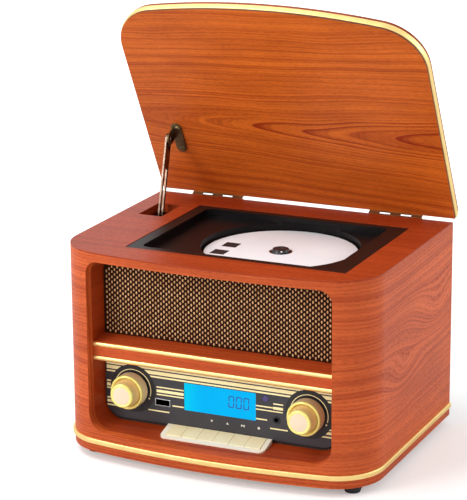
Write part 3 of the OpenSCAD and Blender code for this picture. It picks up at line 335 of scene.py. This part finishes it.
def metal(name, colour, shade, roughness, scratch=0.4 * mm, stretch=(30, 1, 1), strength=0.12,
          worn=0.35):
    made, tree, skin = finish_of(name, colour, roughness, metallic=1.0)
    place = add(tree, "TexCoord").outputs["Object"]
    brushed = speckle(tree, place, scratch, stretch, 3, 0.6)
    tarnish = rise(tree, speckle(tree, place, 9 * mm, (1, 1, 1), 3, 0.6), 0.35, 0.75, 0.0, worn)
    feed(tree, skin, {
        "Base Color": stain(tree, tarnish, colour, shade),
        "Roughness": rise(tree, brushed, 0.3, 0.7, roughness * 0.8, roughness * 1.3),
        "Normal": add(tree, "Bump",
                      {"Strength": strength, "Distance": 0.02 * mm, "Height": brushed})})
    return made


strip_brass = metal("strip_brass", paint(250, 222, 150), paint(232, 192, 110), 0.44, strength=0.05)
for node, name, body, edge in (("base_trim", "base_strip", "cabinet", 0.7 * mm),
                               ("rail_trims", "rail_strips", "cabinet", 0.3 * mm),
                               ("lid_trim", "lid_strip", "lid", 0.7 * mm)):
    piece_from(merged_copy(node), name, body, [strip_brass], [node], edge, 3)

# Cross rail. A solid wooden rail between the cloth and the control panel, sloping up to the cloth
# at its back, glued into the lining and finished like the wall.
rail_veneer = veneer("rail_veneer", paint(212, 92, 40), paint(160, 50, 20), paint(110, 34, 16),
                     ring=5 * mm, wander=5 * mm, lines=0.2, dashes=0.25)
piece_from(lay_grain(merged_copy("cross_rail"), along_x), "rail", "cabinet", [rail_veneer],
           ["cross_rail"], 0.4 * mm)

# Speaker board and grille cloth. A plywood board closes the back of the recess. Dark brown cloth
# with a beige thread floating over it in a staggered pattern is stretched over the board's upper
# half and glued round its edge.


def coated(name, colour, shade, roughness, patch=12 * mm, amount=0.5, grain=0.5 * mm,
           stretch=(1, 1, 1), bump=0.1, metallic=0.0, coat=0.0, shine=0.5):
    made, tree, skin = finish_of(name, colour, roughness, metallic, coat, shine)
    place = add(tree, "TexCoord").outputs["Object"]
    uneven = rise(tree, speckle(tree, place, patch, stretch, 3, 0.6), 0.35, 0.7, 0.0, amount)
    fine = speckle(tree, place, grain, stretch, 2, 0.6)
    feed(tree, skin, {
        "Base Color": stain(tree, uneven, colour, shade),
        "Roughness": rise(tree, fine, 0.3, 0.7, roughness * 0.92, min(1, roughness * 1.1)),
        "Normal": add(tree, "Bump", {"Strength": bump, "Distance": 0.03 * mm, "Height": fine})})
    return made


def on_node(material, *names):
    for name in names:
        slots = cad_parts[name].data.materials
        slots.clear()
        slots.append(material)


board_look = dict(patch=8 * mm, amount=0.8, grain=0.7 * mm, stretch=(14, 2, 2), bump=0.3)
on_node(coated("bare_board", paint(196, 160, 112), paint(160, 118, 72), 0.75, **board_look),
        "bottom_board")
on_node(coated("black_board", paint(40, 30, 26), paint(28, 20, 17), 0.8, **board_look),
        "speaker_baffle")

cloth_low, cloth_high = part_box("grille_cloth")
warp_pitch, weft_pitch = 0.92 * mm, 0.82 * mm
ground, tree, skin = finish_of("cloth_ground", paint(58, 30, 14), 0.92, shine=0.15)
weave = add(tree, "UVMap", uv_map="grain")
warp_way, weft_way = add(tree, "SeparateXYZ", {0: weave}).outputs[:2]
warp = calc(tree, "SINE", calc(tree, "MULTIPLY", warp_way, 2 * math.pi / warp_pitch))
weft = calc(tree, "SINE", calc(tree, "MULTIPLY", weft_way, 2 * math.pi / weft_pitch))
crossing = calc(tree, "MULTIPLY", warp, weft)
uneven = rise(tree, speckle(tree, weave, 3 * mm, (1, 3, 1), 3, 0.6), 0.35, 0.75, 0.0, 0.5)
# The weave's crowns are painted lighter and its hollows darker, following the thread bump: painted
# highlight and painted shade.
tint = stain(tree, rise(tree, crossing, -0.6, 1.0), paint(28, 11, 4), paint(70, 34, 14))
tint = stain(tree, uneven, tint, paint(50, 24, 10))
threads = add(tree, "Bump", {"Strength": 0.8, "Distance": 0.15 * mm, "Height": crossing})
feed(tree, skin, {"Base Color": tint, "Normal": threads})
cloth = piece_from(lay_grain(merged_copy("grille_cloth"), lambda place, facing: (place.x, place.z)),
                   "speaker_cloth", "cabinet", [ground], ["grille_cloth"],
                   0.2 * mm)

thread, tree, skin = finish_of("float_thread", paint(206, 168, 124), 0.7, shine=0.3)
place = add(tree, "TexCoord").outputs["Object"]
uneven = rise(tree, speckle(tree, place, 5 * mm, (1, 1, 1), 2), 0.35, 0.65)
twist = rise(tree, speckle(tree, place, 0.3 * mm, (1, 1, 4), 2), 0.4, 0.7, 0.0, 0.3)
tint = stain(tree, uneven, paint(248, 202, 148), paint(216, 164, 112))
feed(tree, skin, {"Base Color": stain(tree, twist, tint, paint(160, 116, 72))})
float_half = (0.72 * mm, 0.34 * mm, 1.2 * mm)
float_pitch_x, float_pitch_z, float_sunk = 4.6 * mm, 4.1 * mm, 0.05 * mm
cloth_corner, first_row, top_margin, side_margin = 12 * mm, 1.9 * mm, 1.6 * mm, 1.2 * mm
one_float = bmesh.new()
bmesh.ops.create_uvsphere(one_float, u_segments=8, v_segments=5, radius=1,
                          matrix=Matrix.Diagonal((*float_half, 1)))
float_mesh = bpy.data.meshes.new("one_float")
one_float.to_mesh(float_mesh)
one_float.free()
bm = bmesh.new()
middle_x = (cloth_low.x + cloth_high.x) / 2
straight_x = cloth_high.x - middle_x - cloth_corner
rows = int((cloth_high.z - cloth_low.z - first_row - top_margin) / (float_pitch_z / 2)) + 1
for row in range(rows):
    z = cloth_low.z + first_row + row * float_pitch_z / 2
    for column in range(-22, 23):
        x = middle_x + (column + (row % 2) / 2) * float_pitch_x
        off_x = abs(x - middle_x) - straight_x
        off_z = z - (cloth_high.z - cloth_corner)
        reach = math.hypot(off_x, off_z) if off_x > 0 and off_z > 0 else off_x
        if reach > cloth_corner - side_margin:
            continue
        dot = float_mesh.copy()
        dot.transform(Matrix.Translation((x, cloth_low.y - float_sunk, z)))
        bm.from_mesh(dot)
        bpy.data.meshes.remove(dot)
floats = piece_from(bm, "cloth_floats", "cabinet", [thread], sharp=80)

# Control panel. A dark sprayed plastic plate screwed to the speaker board, with gold lines, a dark
# ring round each knob, a gold scale line and four plain marks screen-printed on its face.
face_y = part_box("control_panel")[0].y
knob_x, knob_z, dial_r, ink = 73.2 * mm, case_low.z + 47 * mm, 19.2 * mm, 0.08 * mm
panel_black = coated("panel_black", paint(56, 55, 60), paint(44, 43, 47), 0.42, 30 * mm, 0.6,
                     0.25 * mm, bump=0.2)
piece_from(merged_copy("control_panel"), "panel_plate", "cabinet", [panel_black],
           ["control_panel"], 0.25 * mm)


def turned(profile, centre, out, steps=72, closed=True):
    centre, out = Vector(centre), Vector(out).normalized()
    side = out.orthogonal().normalized()
    bm = bmesh.new()
    ring = [bm.verts.new(centre + side * (r * mm) + out * (h * mm)) for r, h in profile]
    line = [bm.edges.new(pair) for pair in zip(ring, ring[1:])]
    if closed:
        line.append(bm.edges.new((ring[-1], ring[0])))
    bmesh.ops.spin(bm, geom=ring + line, cent=centre, axis=out, dvec=(0, 0, 0),
                   angle=2 * math.pi, steps=steps, use_merge=True)
    bmesh.ops.remove_doubles(bm, verts=bm.verts, dist=0.003 * mm)
    bmesh.ops.recalc_face_normals(bm, faces=bm.faces)
    return bm


def plate(bm, x0, x1, z0, z1, front, depth, cuts=()):
    middle = Matrix.Translation(((x0 + x1) / 2, front + depth / 2, (z0 + z1) / 2))
    size = Matrix.Diagonal((x1 - x0, depth, z1 - z0, 1))
    verts = bmesh.ops.create_cube(bm, size=1, matrix=middle @ size)["verts"]
    for place, away in cuts:
        faces = list(dict.fromkeys(f for v in verts if v.is_valid for f in v.link_faces))
        edges = list(dict.fromkeys(e for f in faces for e in f.edges))
        corners = list(dict.fromkeys(v for f in faces for v in f.verts))
        cut = bmesh.ops.bisect_plane(bm, geom=faces + edges + corners, plane_co=place,
                                     plane_no=away, clear_outer=True, dist=1e-7)
        rim = [e for e in cut["geom_cut"] if isinstance(e, bmesh.types.BMEdge)]
        end_face = bmesh.ops.holes_fill(bm, edges=rim)["faces"][0]
        verts = list(end_face.verts) + [v for v in verts if v.is_valid]


def circle_cut(side, inner, z0, z1):
    ends = [Vector((side * knob_x + inner * math.sqrt(dial_r ** 2 - (z - knob_z) ** 2), face_y, z))
            for z in (z0, z1)]
    away = (ends[1] - ends[0]).cross(Vector((0, 1, 0)))
    if away.x * inner > 0:
        away = -away
    return ends[0], away


gold_ink_painted_glow = coated("gold_ink_painted_glow", paint(255, 246, 190), paint(250, 228, 160), 0.4, 10 * mm, 0.5,
                  0.2 * mm, bump=0.1)
# The gold ink is given a faint emission, a painted glow that lifts the printed lines and scales
# where the recess is in shade.
ink_glow_skin = gold_ink_painted_glow.node_tree.nodes["Principled BSDF"]
ink_glow_skin.inputs["Emission Color"].default_value = paint(255, 226, 150)
ink_glow_skin.inputs["Emission Strength"].default_value = 0.12
upper_bands = ((64.4, 65.7), (60.6, 63.4), (58.2, 59.5))
lower_bands = ((50.1, 51.3), (46.4, 48.9), (44.3, 45.5), (36.4, 37.6), (33.2, 35.3), (30.5, 31.7))
short_lines = ((-53, -30, 50.5, 51.5), (-53, -30, 46.8, 49.0), (-53, -30, 44.6, 45.6),
               (-60.3, -42.4, 31.1, 32.1), (-39.7, -30, 37.0, 38.0), (44.2, 52.3, 50.7, 51.7),
               (44.2, 52.2, 46.8, 48.9), (30, 44.2, 47.4, 48.4), (30, 52.0, 44.7, 45.6),
               (30, 39.2, 37.0, 38.0), (41.6, 56.0, 30.9, 31.9))
lines_end = 95.6 * mm
bm = bmesh.new()
for side in (-1, 1):
    for z0, z1 in upper_bands + lower_bands:
        low, high = case_low.z + z0 * mm, case_low.z + z1 * mm
        left, right = sorted((side * lines_end, side * knob_x))
        plate(bm, left, right, low, high, face_y - ink, ink, [circle_cut(side, side, low, high)])
for z0, z1 in upper_bands:
    low, high = case_low.z + z0 * mm, case_low.z + z1 * mm
    plate(bm, -knob_x, knob_x, low, high, face_y - ink, ink,
          [circle_cut(-1, 1, low, high), circle_cut(1, -1, low, high)])
for x0, x1, z0, z1 in short_lines:
    plate(bm, x0 * mm, x1 * mm, case_low.z + z0 * mm, case_low.z + z1 * mm, face_y - ink, ink)
piece_from(bm, "panel_lines", "cabinet", [gold_ink_painted_glow])

dial_ink = coated("dial_ink", paint(30, 29, 32), paint(22, 21, 24), 0.5, 20 * mm, 0.6, 0.25 * mm,
                  bump=0.15)
dial_profile = [(5, 0), (19.1, 0), (19.1, 0.06), (5, 0.06)]
scale_profile = [(15.0, 0.06), (15.6, 0.06), (15.6, 0.14), (15.0, 0.14)]
scale_sweep, stop_turn, stop_r = math.radians(197), math.radians(205), 15.3 * mm
for side, name in ((-1, "volume"), (1, "tuning")):
    centre = Vector((side * knob_x, face_y, knob_z))
    piece_from(turned(dial_profile, centre, (0, -1, 0), 96), name + "_dial", "cabinet",
               [dial_ink])
    bm = bmesh.new()
    ends = [bm.verts.new(centre + Vector((-r * mm, -h * mm, 0))) for r, h in scale_profile]
    face = bm.faces.new(ends)
    bmesh.ops.spin(bm, geom=[face] + list(face.edges) + ends, cent=centre, axis=(0, 1, 0),
                   dvec=(0, 0, 0), angle=scale_sweep, steps=60)
    bmesh.ops.holes_fill(bm, edges=[e for e in bm.edges if e.is_boundary])
    stop = centre + Matrix.Rotation(stop_turn, 3, "Y") @ Vector((-stop_r, 0, 0))
    stop += Vector((0, -0.1 * mm, 0))
    bmesh.ops.create_cone(bm, cap_ends=True, segments=16, radius1=0.7 * mm, radius2=0.6 * mm,
                          depth=0.1 * mm, matrix=Matrix.Translation(stop)
                          @ Matrix.Rotation(math.radians(90), 4, "X"))
    bmesh.ops.recalc_face_normals(bm, faces=bm.faces)
    piece_from(bm, name + "_scale", "cabinet", [gold_ink_painted_glow])

mark_z = case_low.z + 30 * mm
bar = ((-0.35, -0.9), (0.05, -0.9), (0.05, 0.9), (-0.35, 0.9))
marks = ((-6.7, ((-1.1, 0.9), (1.1, 0.9), (0, -0.9))),
         (6.4, ((-1.1, -0.9), (1.1, -0.9), (0, 0.9))),
         (18.6, ((-0.8, -0.9), (0.9, 0), (-0.8, 0.9))),
         (32.3, ((-0.9, -0.9), (0.9, -0.9), (0.9, 0.9), (-0.9, 0.9))),
         (20.0, bar), (20.8, bar))
bm = bmesh.new()
for x, points in marks:
    corners = [bm.verts.new((x * mm + u * mm, face_y, mark_z + v * mm)) for u, v in points]
    raised = bmesh.ops.extrude_face_region(bm, geom=[bm.faces.new(corners)])["geom"]
    bmesh.ops.translate(bm, vec=(0, -ink, 0),
                        verts=[v for v in raised if isinstance(v, bmesh.types.BMVert)])
bmesh.ops.recalc_face_normals(bm, faces=bm.faces)
white_ink = coated("white_ink", paint(240, 236, 222), paint(222, 214, 196), 0.45, 3 * mm, 0.5,
                   0.2 * mm)
piece_from(bm, "panel_marks", "cabinet", [white_ink])

# Display. A clear acrylic window snapped into the panel, lit blue from behind, with three segment
# digits of the display glass showing in it. The display glass and its light box are on a small
# board behind.
glass, tree, skin = finish_of("lit_window", paint(0, 8, 14), 0.3, shine=0.05)
place = add(tree, "TexCoord").outputs["Object"]
across = add(tree, "SeparateXYZ", {0: place}).outputs[0]
lit = stain(tree, rise(tree, across, -30 * mm, -14 * mm), paint(0, 206, 248), paint(0, 184, 250))
uneven = rise(tree, speckle(tree, place, 14 * mm), 0.3, 0.8, 0.0, 0.35)
feed(tree, skin, {"Emission Color": stain(tree, uneven, lit, paint(0, 196, 255))})
skin.inputs["Emission Strength"].default_value = 0.99
piece_from(merged_copy("lcd_window"), "display_window", "cabinet", [glass],
           ["lcd_window"], 0.2 * mm)
window_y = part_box("lcd_window")[0].y
digit_ink = coated("digit_ink", paint(8, 84, 170), paint(16, 100, 186), 0.3, 4 * mm, 0.6,
                   0.3 * mm)
segments_of_zero = ((0.7, 4.1, 9.0, 9.9), (0.7, 4.1, 0.3, 1.2), (0, 0.9, 0.8, 4.6),
                    (0, 0.9, 5.6, 9.4), (3.9, 4.8, 0.8, 4.6), (3.9, 4.8, 5.6, 9.4))
digits_z, digit_ink_t, slant = case_low.z + 42.5 * mm, 0.06 * mm, 0.05
bm = bmesh.new()
for left in (7.0, 13.2, 19.4):
    for x0, x1, z0, z1 in segments_of_zero:
        plate(bm, (left + x0) * mm, (left + x1) * mm, z0 * mm, z1 * mm, window_y - digit_ink_t,
              digit_ink_t)
lean = Matrix.Identity(4)
lean[0][2] = slant
bmesh.ops.transform(bm, matrix=Matrix.Translation((0, 0, digits_z)) @ lean, verts=bm.verts)
piece_from(bm, "display_digits", "cabinet", [digit_ink])

# Small things on the panel: the dark window of the remote receiver, a plated flat socket with its
# tongue, and a headphone jack with a threaded collar. Each is a bought part pushed through the
# panel from behind.
window = coated("violet_window", paint(62, 46, 120), paint(40, 30, 78), 0.15, 3 * mm, 0.5,
                0.4 * mm, bump=0.02, coat=0.6)
socket_steel = metal("socket_steel", paint(244, 244, 248), paint(206, 206, 212), 0.34)
socket_black = coated("socket_black", paint(30, 30, 32), paint(20, 20, 22), 0.35, 6 * mm, 0.6,
                      0.3 * mm)
for node, name, finish, slot, edge in (
        ("ir_window", "receiver_window", window, "smoked_window", 0.2 * mm),
        ("usb_socket", "flat_socket", socket_steel, "plated_steel", 0.08 * mm),
        ("phones_jack", "headphone_jack", socket_black, "socket_black", 0.2 * mm)):
    piece_from(merged_copy(node), name, "cabinet", [finish], [node], edge)

# Double knobs. The outer ring is a moulded cup in sprayed satin gold with a polished rim, turned on
# the shaft of its encoder. A push cap, a shallow cone with a polished edge and a cream face, slides
# inside it.
knob_satin = coated("knob_satin", paint(255, 236, 184), paint(255, 220, 160), 0.42, 14 * mm, 0.5,
                    0.35 * mm, bump=0.3, coat=0.1)
knob_rim = coated("knob_rim", paint(255, 242, 140), paint(248, 226, 118), 0.26, 4 * mm, 0.5,
                  0.5 * mm, bump=0.05, metallic=0.2, coat=0.4)
cap_side = coated("cap_side", paint(248, 214, 150), paint(236, 192, 120), 0.36, 14 * mm, 0.5,
                  0.35 * mm, bump=0.12, metallic=0.15, coat=0.3)
cap_cream = coated("cap_cream", paint(244, 222, 192), paint(236, 210, 176), 0.34, 12 * mm, 0.6,
                   0.5 * mm, bump=0.05, coat=0.2)
ring_profile = [(3.05, 0.9), (12.6, 0.9), (13.2, 1.3), (13.45, 2.2), (13.5, 6), (13.55, 9.9),
                (13.6, 10.4), (13.6, 10.8), (13.35, 11.3), (12.9, 11.7), (12.4, 11.8),
                (11.9, 11.65), (11.4, 11.1), (11.15, 10.5), (11.05, 9.9), (11.0, 4), (5.2, 4),
                (5.2, 6), (3.05, 6)]
cap_profile = [(0, 20.3), (4.6, 20.26), (6.7, 20.12), (7.05, 19.95), (7.3, 19.98), (7.8, 20.2),
               (8.3, 20.25), (8.8, 20.1), (9.25, 19.7), (9.5, 19.1), (9.65, 18.2), (10.8, 11.3),
               (10.8, 6.4), (9.4, 6.4), (9.4, 11), (8.1, 17.7), (2.4, 17.7), (2.4, 9.9), (0, 9.9)]
ring_rim_from, cap_edge_from, cream_r = 10.0 * mm, 18.3 * mm, 7.1 * mm
for side, ring_name, cap_name, ring_body, cap_body in (
        (-1, "volume_knob", "standby_cap", "volume", "standby"),
        (1, "tuning_knob", "sleep_cap", "tuning", "sleep")):
    centre = Vector((side * knob_x, face_y, knob_z))
    bm = turned(ring_profile, centre, (0, -1, 0))
    for face in bm.faces:
        spot = face.calc_center_median() - centre
        face.material_index = 1 if -spot.y > ring_rim_from else 0
    piece_from(bm, ring_name + "_cup", ring_body, [knob_satin, knob_rim],
               [ring_name], sharp=50)
    bm = turned(cap_profile, centre, (0, -1, 0), closed=False)
    for face in bm.faces:
        spot = face.calc_center_median() - centre
        radius = math.hypot(spot.x, spot.z)
        face.material_index = 2 if radius < cream_r else 1 if -spot.y > cap_edge_from else 0
    piece_from(bm, cap_name + "_button", cap_body, [cap_side, knob_rim, cap_cream],
               [cap_name], sharp=50)

# Keys. Six moulded cream keys hang on one steel pin in a moulded frame on the floor of the recess,
# and press small switches on a board below. The frame is a slightly paler cream than the keys.
key_cream = coated("key_cream", paint(255, 242, 196), paint(250, 230, 178), 0.34, 10 * mm, 0.6,
                   0.4 * mm, bump=0.06, coat=0.3)
frame_cream = coated("frame_cream", paint(255, 248, 228), paint(255, 240, 212), 0.34, 12 * mm, 0.6,
                     0.4 * mm, bump=0.06, coat=0.3)
piece_from(merged_copy("key_bezel", 0.2 * mm), "key_frame", "cabinet", [frame_cream],
           ["key_bezel"], 0.45 * mm, 3)
for number in range(1, 7):
    piece_from(merged_copy(f"key_{number}"), f"key_{number}_cap", f"key_{number}_lever",
               [key_cream], [f"key_{number}"], 0.3 * mm, 3)
board_green = coated("board_green", paint(24, 84, 46), paint(14, 62, 34), 0.4, 6 * mm, 0.7,
                     0.5 * mm, coat=0.4)
plain_steel = metal("plain_steel", paint(196, 196, 200), paint(150, 150, 154), 0.3)
on_node(board_green, "key_board", "lcd_module", "main_board")
on_node(plain_steel, "key_pivot_pin", "guide_rods", "spindle_motor", "sled_motor", "hinge_pins",
        "stay_stud")

# Disc well. One black moulding drops into the deck from above and is screwed from below through
# its ears: a flat rim, a shallow tray, and a round pocket for the disc. Its face is lightly
# textured with a soft gloss.
well_black = coated("well_black", paint(22, 19, 20), paint(15, 12, 12), 0.34, 40 * mm, 0.6,
                    0.3 * mm, bump=0.12, shine=0.12)
piece_from(merged_copy("cd_well"), "disc_well", "cabinet", [well_black],
           ["cd_well"], 0.3 * mm)

# Disc and hub. The disc is clear plastic with a pale printed face and two plain dark blocks on it.
# It clips over a black turned hub with three sprung balls, pressed on the spindle of its motor.
disc_low, disc_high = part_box("disc")
disc_centre = Vector(((disc_low.x + disc_high.x) / 2, (disc_low.y + disc_high.y) / 2, disc_low.z))
disc_print = coated("disc_print", paint(248, 252, 255), paint(243, 246, 252), 0.4, 26 * mm, 0.7,
                    0.6 * mm, bump=0.03, shine=0.3)
disc_mirror = metal("disc_mirror", paint(120, 120, 128), paint(90, 90, 100), 0.3, 0.3 * mm,
                    (1, 1, 1), 0.02)
disc_profile = [(7.5, 0.1), (7.6, 0), (59.9, 0), (60, 0.1), (60, 1.1), (59.9, 1.2), (59.2, 1.2),
                (9.0, 1.2), (7.6, 1.2), (7.5, 1.1)]
print_from, print_to, print_z = 9 * mm, 59.4 * mm, 1.19 * mm
bm = turned(disc_profile, disc_centre, (0, 0, 1), 128)
for face in bm.faces:
    spot = face.calc_center_median() - disc_centre
    printed = spot.z > print_z and print_from < math.hypot(spot.x, spot.y) < print_to
    face.material_index = 0 if printed else 1
piece_from(bm, "music_disc", "turntable", [disc_print, disc_mirror], ["disc"],
           sharp=50)
block_half, block_ink = 6, 0.04 * mm
bm = bmesh.new()
for x, y in ((-42.6, 2), (-42.9, -19.3)):
    plate(bm, (x - block_half) * mm, (x + block_half) * mm, (y - block_half) * mm,
          (y + block_half) * mm, -block_ink, block_ink)
lay_flat = Matrix.Rotation(math.radians(-90), 4, "X")
on_disc = Matrix.Translation((disc_centre.x, disc_centre.y, disc_high.z))
bmesh.ops.transform(bm, matrix=on_disc @ lay_flat, verts=bm.verts)
piece_from(bm, "disc_blocks", "turntable", [dial_ink])
hub_profile = [(1.02, -9), (5, -9), (5, -2.3), (14.8, -2.3), (15, -2.1), (15, -0.3), (14.8, -0.1),
               (7.4, -0.1), (7.4, 1.3), (6.9, 1.7), (6.5, 2.2), (6.4, 3.2), (6.2, 3.6), (5.7, 3.8),
               (3.2, 3.8), (2.7, 3.5), (2.5, 3.1), (0, 3.1), (0, 0), (1.02, 0)]
bm = turned(hub_profile, disc_centre, (0, 0, 1), closed=False)
piece_from(bm, "hub", "turntable", [socket_black], ["disc_hub"], sharp=40)
ball_place, ball_r = Vector((6.1 * mm, 0, 2.4 * mm)), 0.9 * mm
bm = bmesh.new()
for turn in (-62, 58, 178):
    spot = disc_centre + Matrix.Rotation(math.radians(turn), 3, "Z") @ ball_place
    bmesh.ops.create_icosphere(bm, subdivisions=3, radius=ball_r, matrix=Matrix.Translation(spot))
piece_from(bm, "hub_balls", "turntable", [plain_steel], sharp=80)

# Lid. Two thin boards are glued back to back, and the under board thins to a lip that holds the
# brass strip; the lip's edge faces are coloured dark as painted shade for the gap line along the
# strip. Its face is a flat-sawn veneer whose arches open to the right, and the upper board is
# stained browner.
lid_open = math.radians(62)
pin = Vector((0, case_high.y + 3.2 * mm, case_low.z + 156.7 * mm))
to_open = Matrix.Translation(pin) @ Matrix.Rotation(-lid_open, 4, "X") @ Matrix.Translation(-pin)
to_shut = to_open.inverted()
lid_up = to_open.to_3x3() @ Vector((0, 0, 1))


def on_the_lid(place, facing):
    shut = to_shut @ place
    edge_share = 0.6
    return shut.x, case_high.y - shut.y + edge_share * (shut.z - pin.z)


arch_veneer = veneer("arch_veneer", paint(226, 114, 36), paint(158, 50, 14), paint(132, 42, 12),
                     ring=2.5 * mm, wander=15 * mm, lines=0.6, dashes=0.3, bands=0.45,
                     arch=(80 * mm, 12 * mm, 0.062), roughness=0.38)
lid_brown = veneer("lid_brown", paint(178, 84, 50), paint(128, 50, 24), paint(88, 34, 18),
                   ring=5.5 * mm, wander=10 * mm, lines=0.4, dashes=0.4)
# Dark colour for the under board's edge faces: painted shade standing in for the gap line beside
# the brass strip.
lip_edge_painted_shade = coated("lip_edge_painted_shade", paint(92, 38, 16), paint(66, 26, 12), 0.5, 20 * mm, 0.6,
                   0.6 * mm, (8, 8, 1))
bm = lay_grain(merged_copy("lid_under_board"), on_the_lid)
for face in bm.faces:
    # Faces standing across the lid, its edges, take the painted shade.
    face.material_index = 1 if abs(face.normal.dot(lid_up)) < 0.5 else 0
piece_from(bm, "lid_lining", "lid", [arch_veneer, lip_edge_painted_shade], ["lid_under_board"],
           0.3 * mm)
piece_from(lay_grain(merged_copy("lid_top_board"), on_the_lid), "lid_cover", "lid", [lid_brown],
           ["lid_top_board"], 0.9 * mm, 3)

# Hinges, bracket and stay. Two brass butt hinges are screwed to the rear edges. An angle bracket
# and a slotted arm, both blackened brass worn bright at the edges, hold the lid up: the arm slides
# along a stud on the wall.
hinge_brass = metal("hinge_brass", paint(158, 126, 90), paint(112, 82, 54), 0.42)
antique = metal("antique_brass", paint(128, 112, 80), paint(84, 70, 46), 0.42, 0.5 * mm,
                (1, 1, 6), 0.15, 0.8)
arm_bronze = metal("arm_bronze", paint(128, 108, 94), paint(60, 46, 38), 0.24, 0.5 * mm,
                   (1, 1, 6), 0.05, 0.8)
for node, name, body, finish, slot, edge in (
        ("hinge_deck_leaves", "hinge_case_halves", "cabinet", hinge_brass, "hinge_brass", 0.15),
        ("hinge_lid_leaves", "hinge_lid_halves", "lid", hinge_brass, "hinge_brass", 0.15),
        ("lid_bracket", "bracket", "lid", antique, "antique_brass", 0.3),
        ("stay_rivet", "rivet", "lid", arm_bronze, "antique_brass", 0.3),
        ("stay_arm", "arm", "stay", arm_bronze, "antique_brass", 0.3)):
    piece_from(merged_copy(node), name, body, [finish], [node], edge * mm)
on_node(hinge_brass, "deck_hinge_screws")
on_node(antique, "lid_screws")

# Feet, bottom and back. Four black rubber feet are screwed under the bottom board. The back is a
# dark painted board with cooling slots, held by six screws, with a bush for the mains cord.
foot_low, foot_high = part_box("feet")
foot_r = 7 * mm
foot_profile = [(1.65, 6.5), (6.9, 6.5), (7, 6.3), (7, 3.4), (6.7, 3.0), (6.35, 2.6), (6.2, 1.3),
                (5.7, 0.35), (4.8, 0), (3.7, 0), (3.5, 0.2), (3.5, 4), (1.65, 4)]
rubber = coated("rubber", paint(34, 33, 34), paint(24, 23, 24), 0.7, 6 * mm, 0.7, 0.4 * mm,
                bump=0.2)
feet = bmesh.new()
for x in (foot_low.x + foot_r, foot_high.x - foot_r):
    for y in (foot_low.y + foot_r, foot_high.y - foot_r):
        one = turned(foot_profile, (x, y, foot_low.z), (0, 0, 1), 48)
        mesh = bpy.data.meshes.new("one_foot")
        one.to_mesh(mesh)
        one.free()
        feet.from_mesh(mesh)
        bpy.data.meshes.remove(mesh)
piece_from(feet, "rubber_feet", "cabinet", [rubber], ["feet"])
back_dark = coated("back_dark", paint(58, 48, 42), paint(46, 38, 33), 0.7, 20 * mm, 0.7, 0.8 * mm,
                   bump=0.3)
piece_from(merged_copy("back_panel", pierced=True), "back_board", "cabinet", [back_dark],
           ["back_panel"])
zinc = metal("zinc", paint(176, 176, 180), paint(140, 140, 146), 0.36)
on_node(zinc, "case_screws")
on_node(socket_black, "cord_bush")

# Inside. The speakers are screwed behind the board, the disc drive hangs from the well on rubber
# grommets, and the main board and the transformer stand on the bottom.
chassis = coated("chassis", paint(150, 150, 152), paint(126, 126, 130), 0.4, 10 * mm, 0.6,
                 0.5 * mm, bump=0.1, metallic=0.6)
cone_black = coated("cone_black", paint(38, 36, 36), paint(26, 25, 25), 0.85, 5 * mm, 0.7,
                    0.4 * mm, bump=0.4)
part_grey = coated("part_grey", paint(92, 92, 96), paint(74, 74, 78), 0.5, 6 * mm, 0.6, 0.4 * mm)
gear_white = coated("gear_white", paint(226, 222, 210), paint(212, 206, 190), 0.45, 3 * mm, 0.6,
                    0.3 * mm)
core_grey = coated("core_grey", paint(74, 70, 68), paint(58, 54, 52), 0.5, 2 * mm, 0.8,
                   0.35 * mm, (20, 20, 1), 0.3, 0.4)
on_node(chassis, "mech_chassis", "speaker_frames")
on_node(cone_black, "speaker_cones")
on_node(part_grey, "encoders", "laser_sled")
on_node(gear_white, "sled_gear")
on_node(core_grey, "transformer")
on_node(rubber, "mech_grommets")
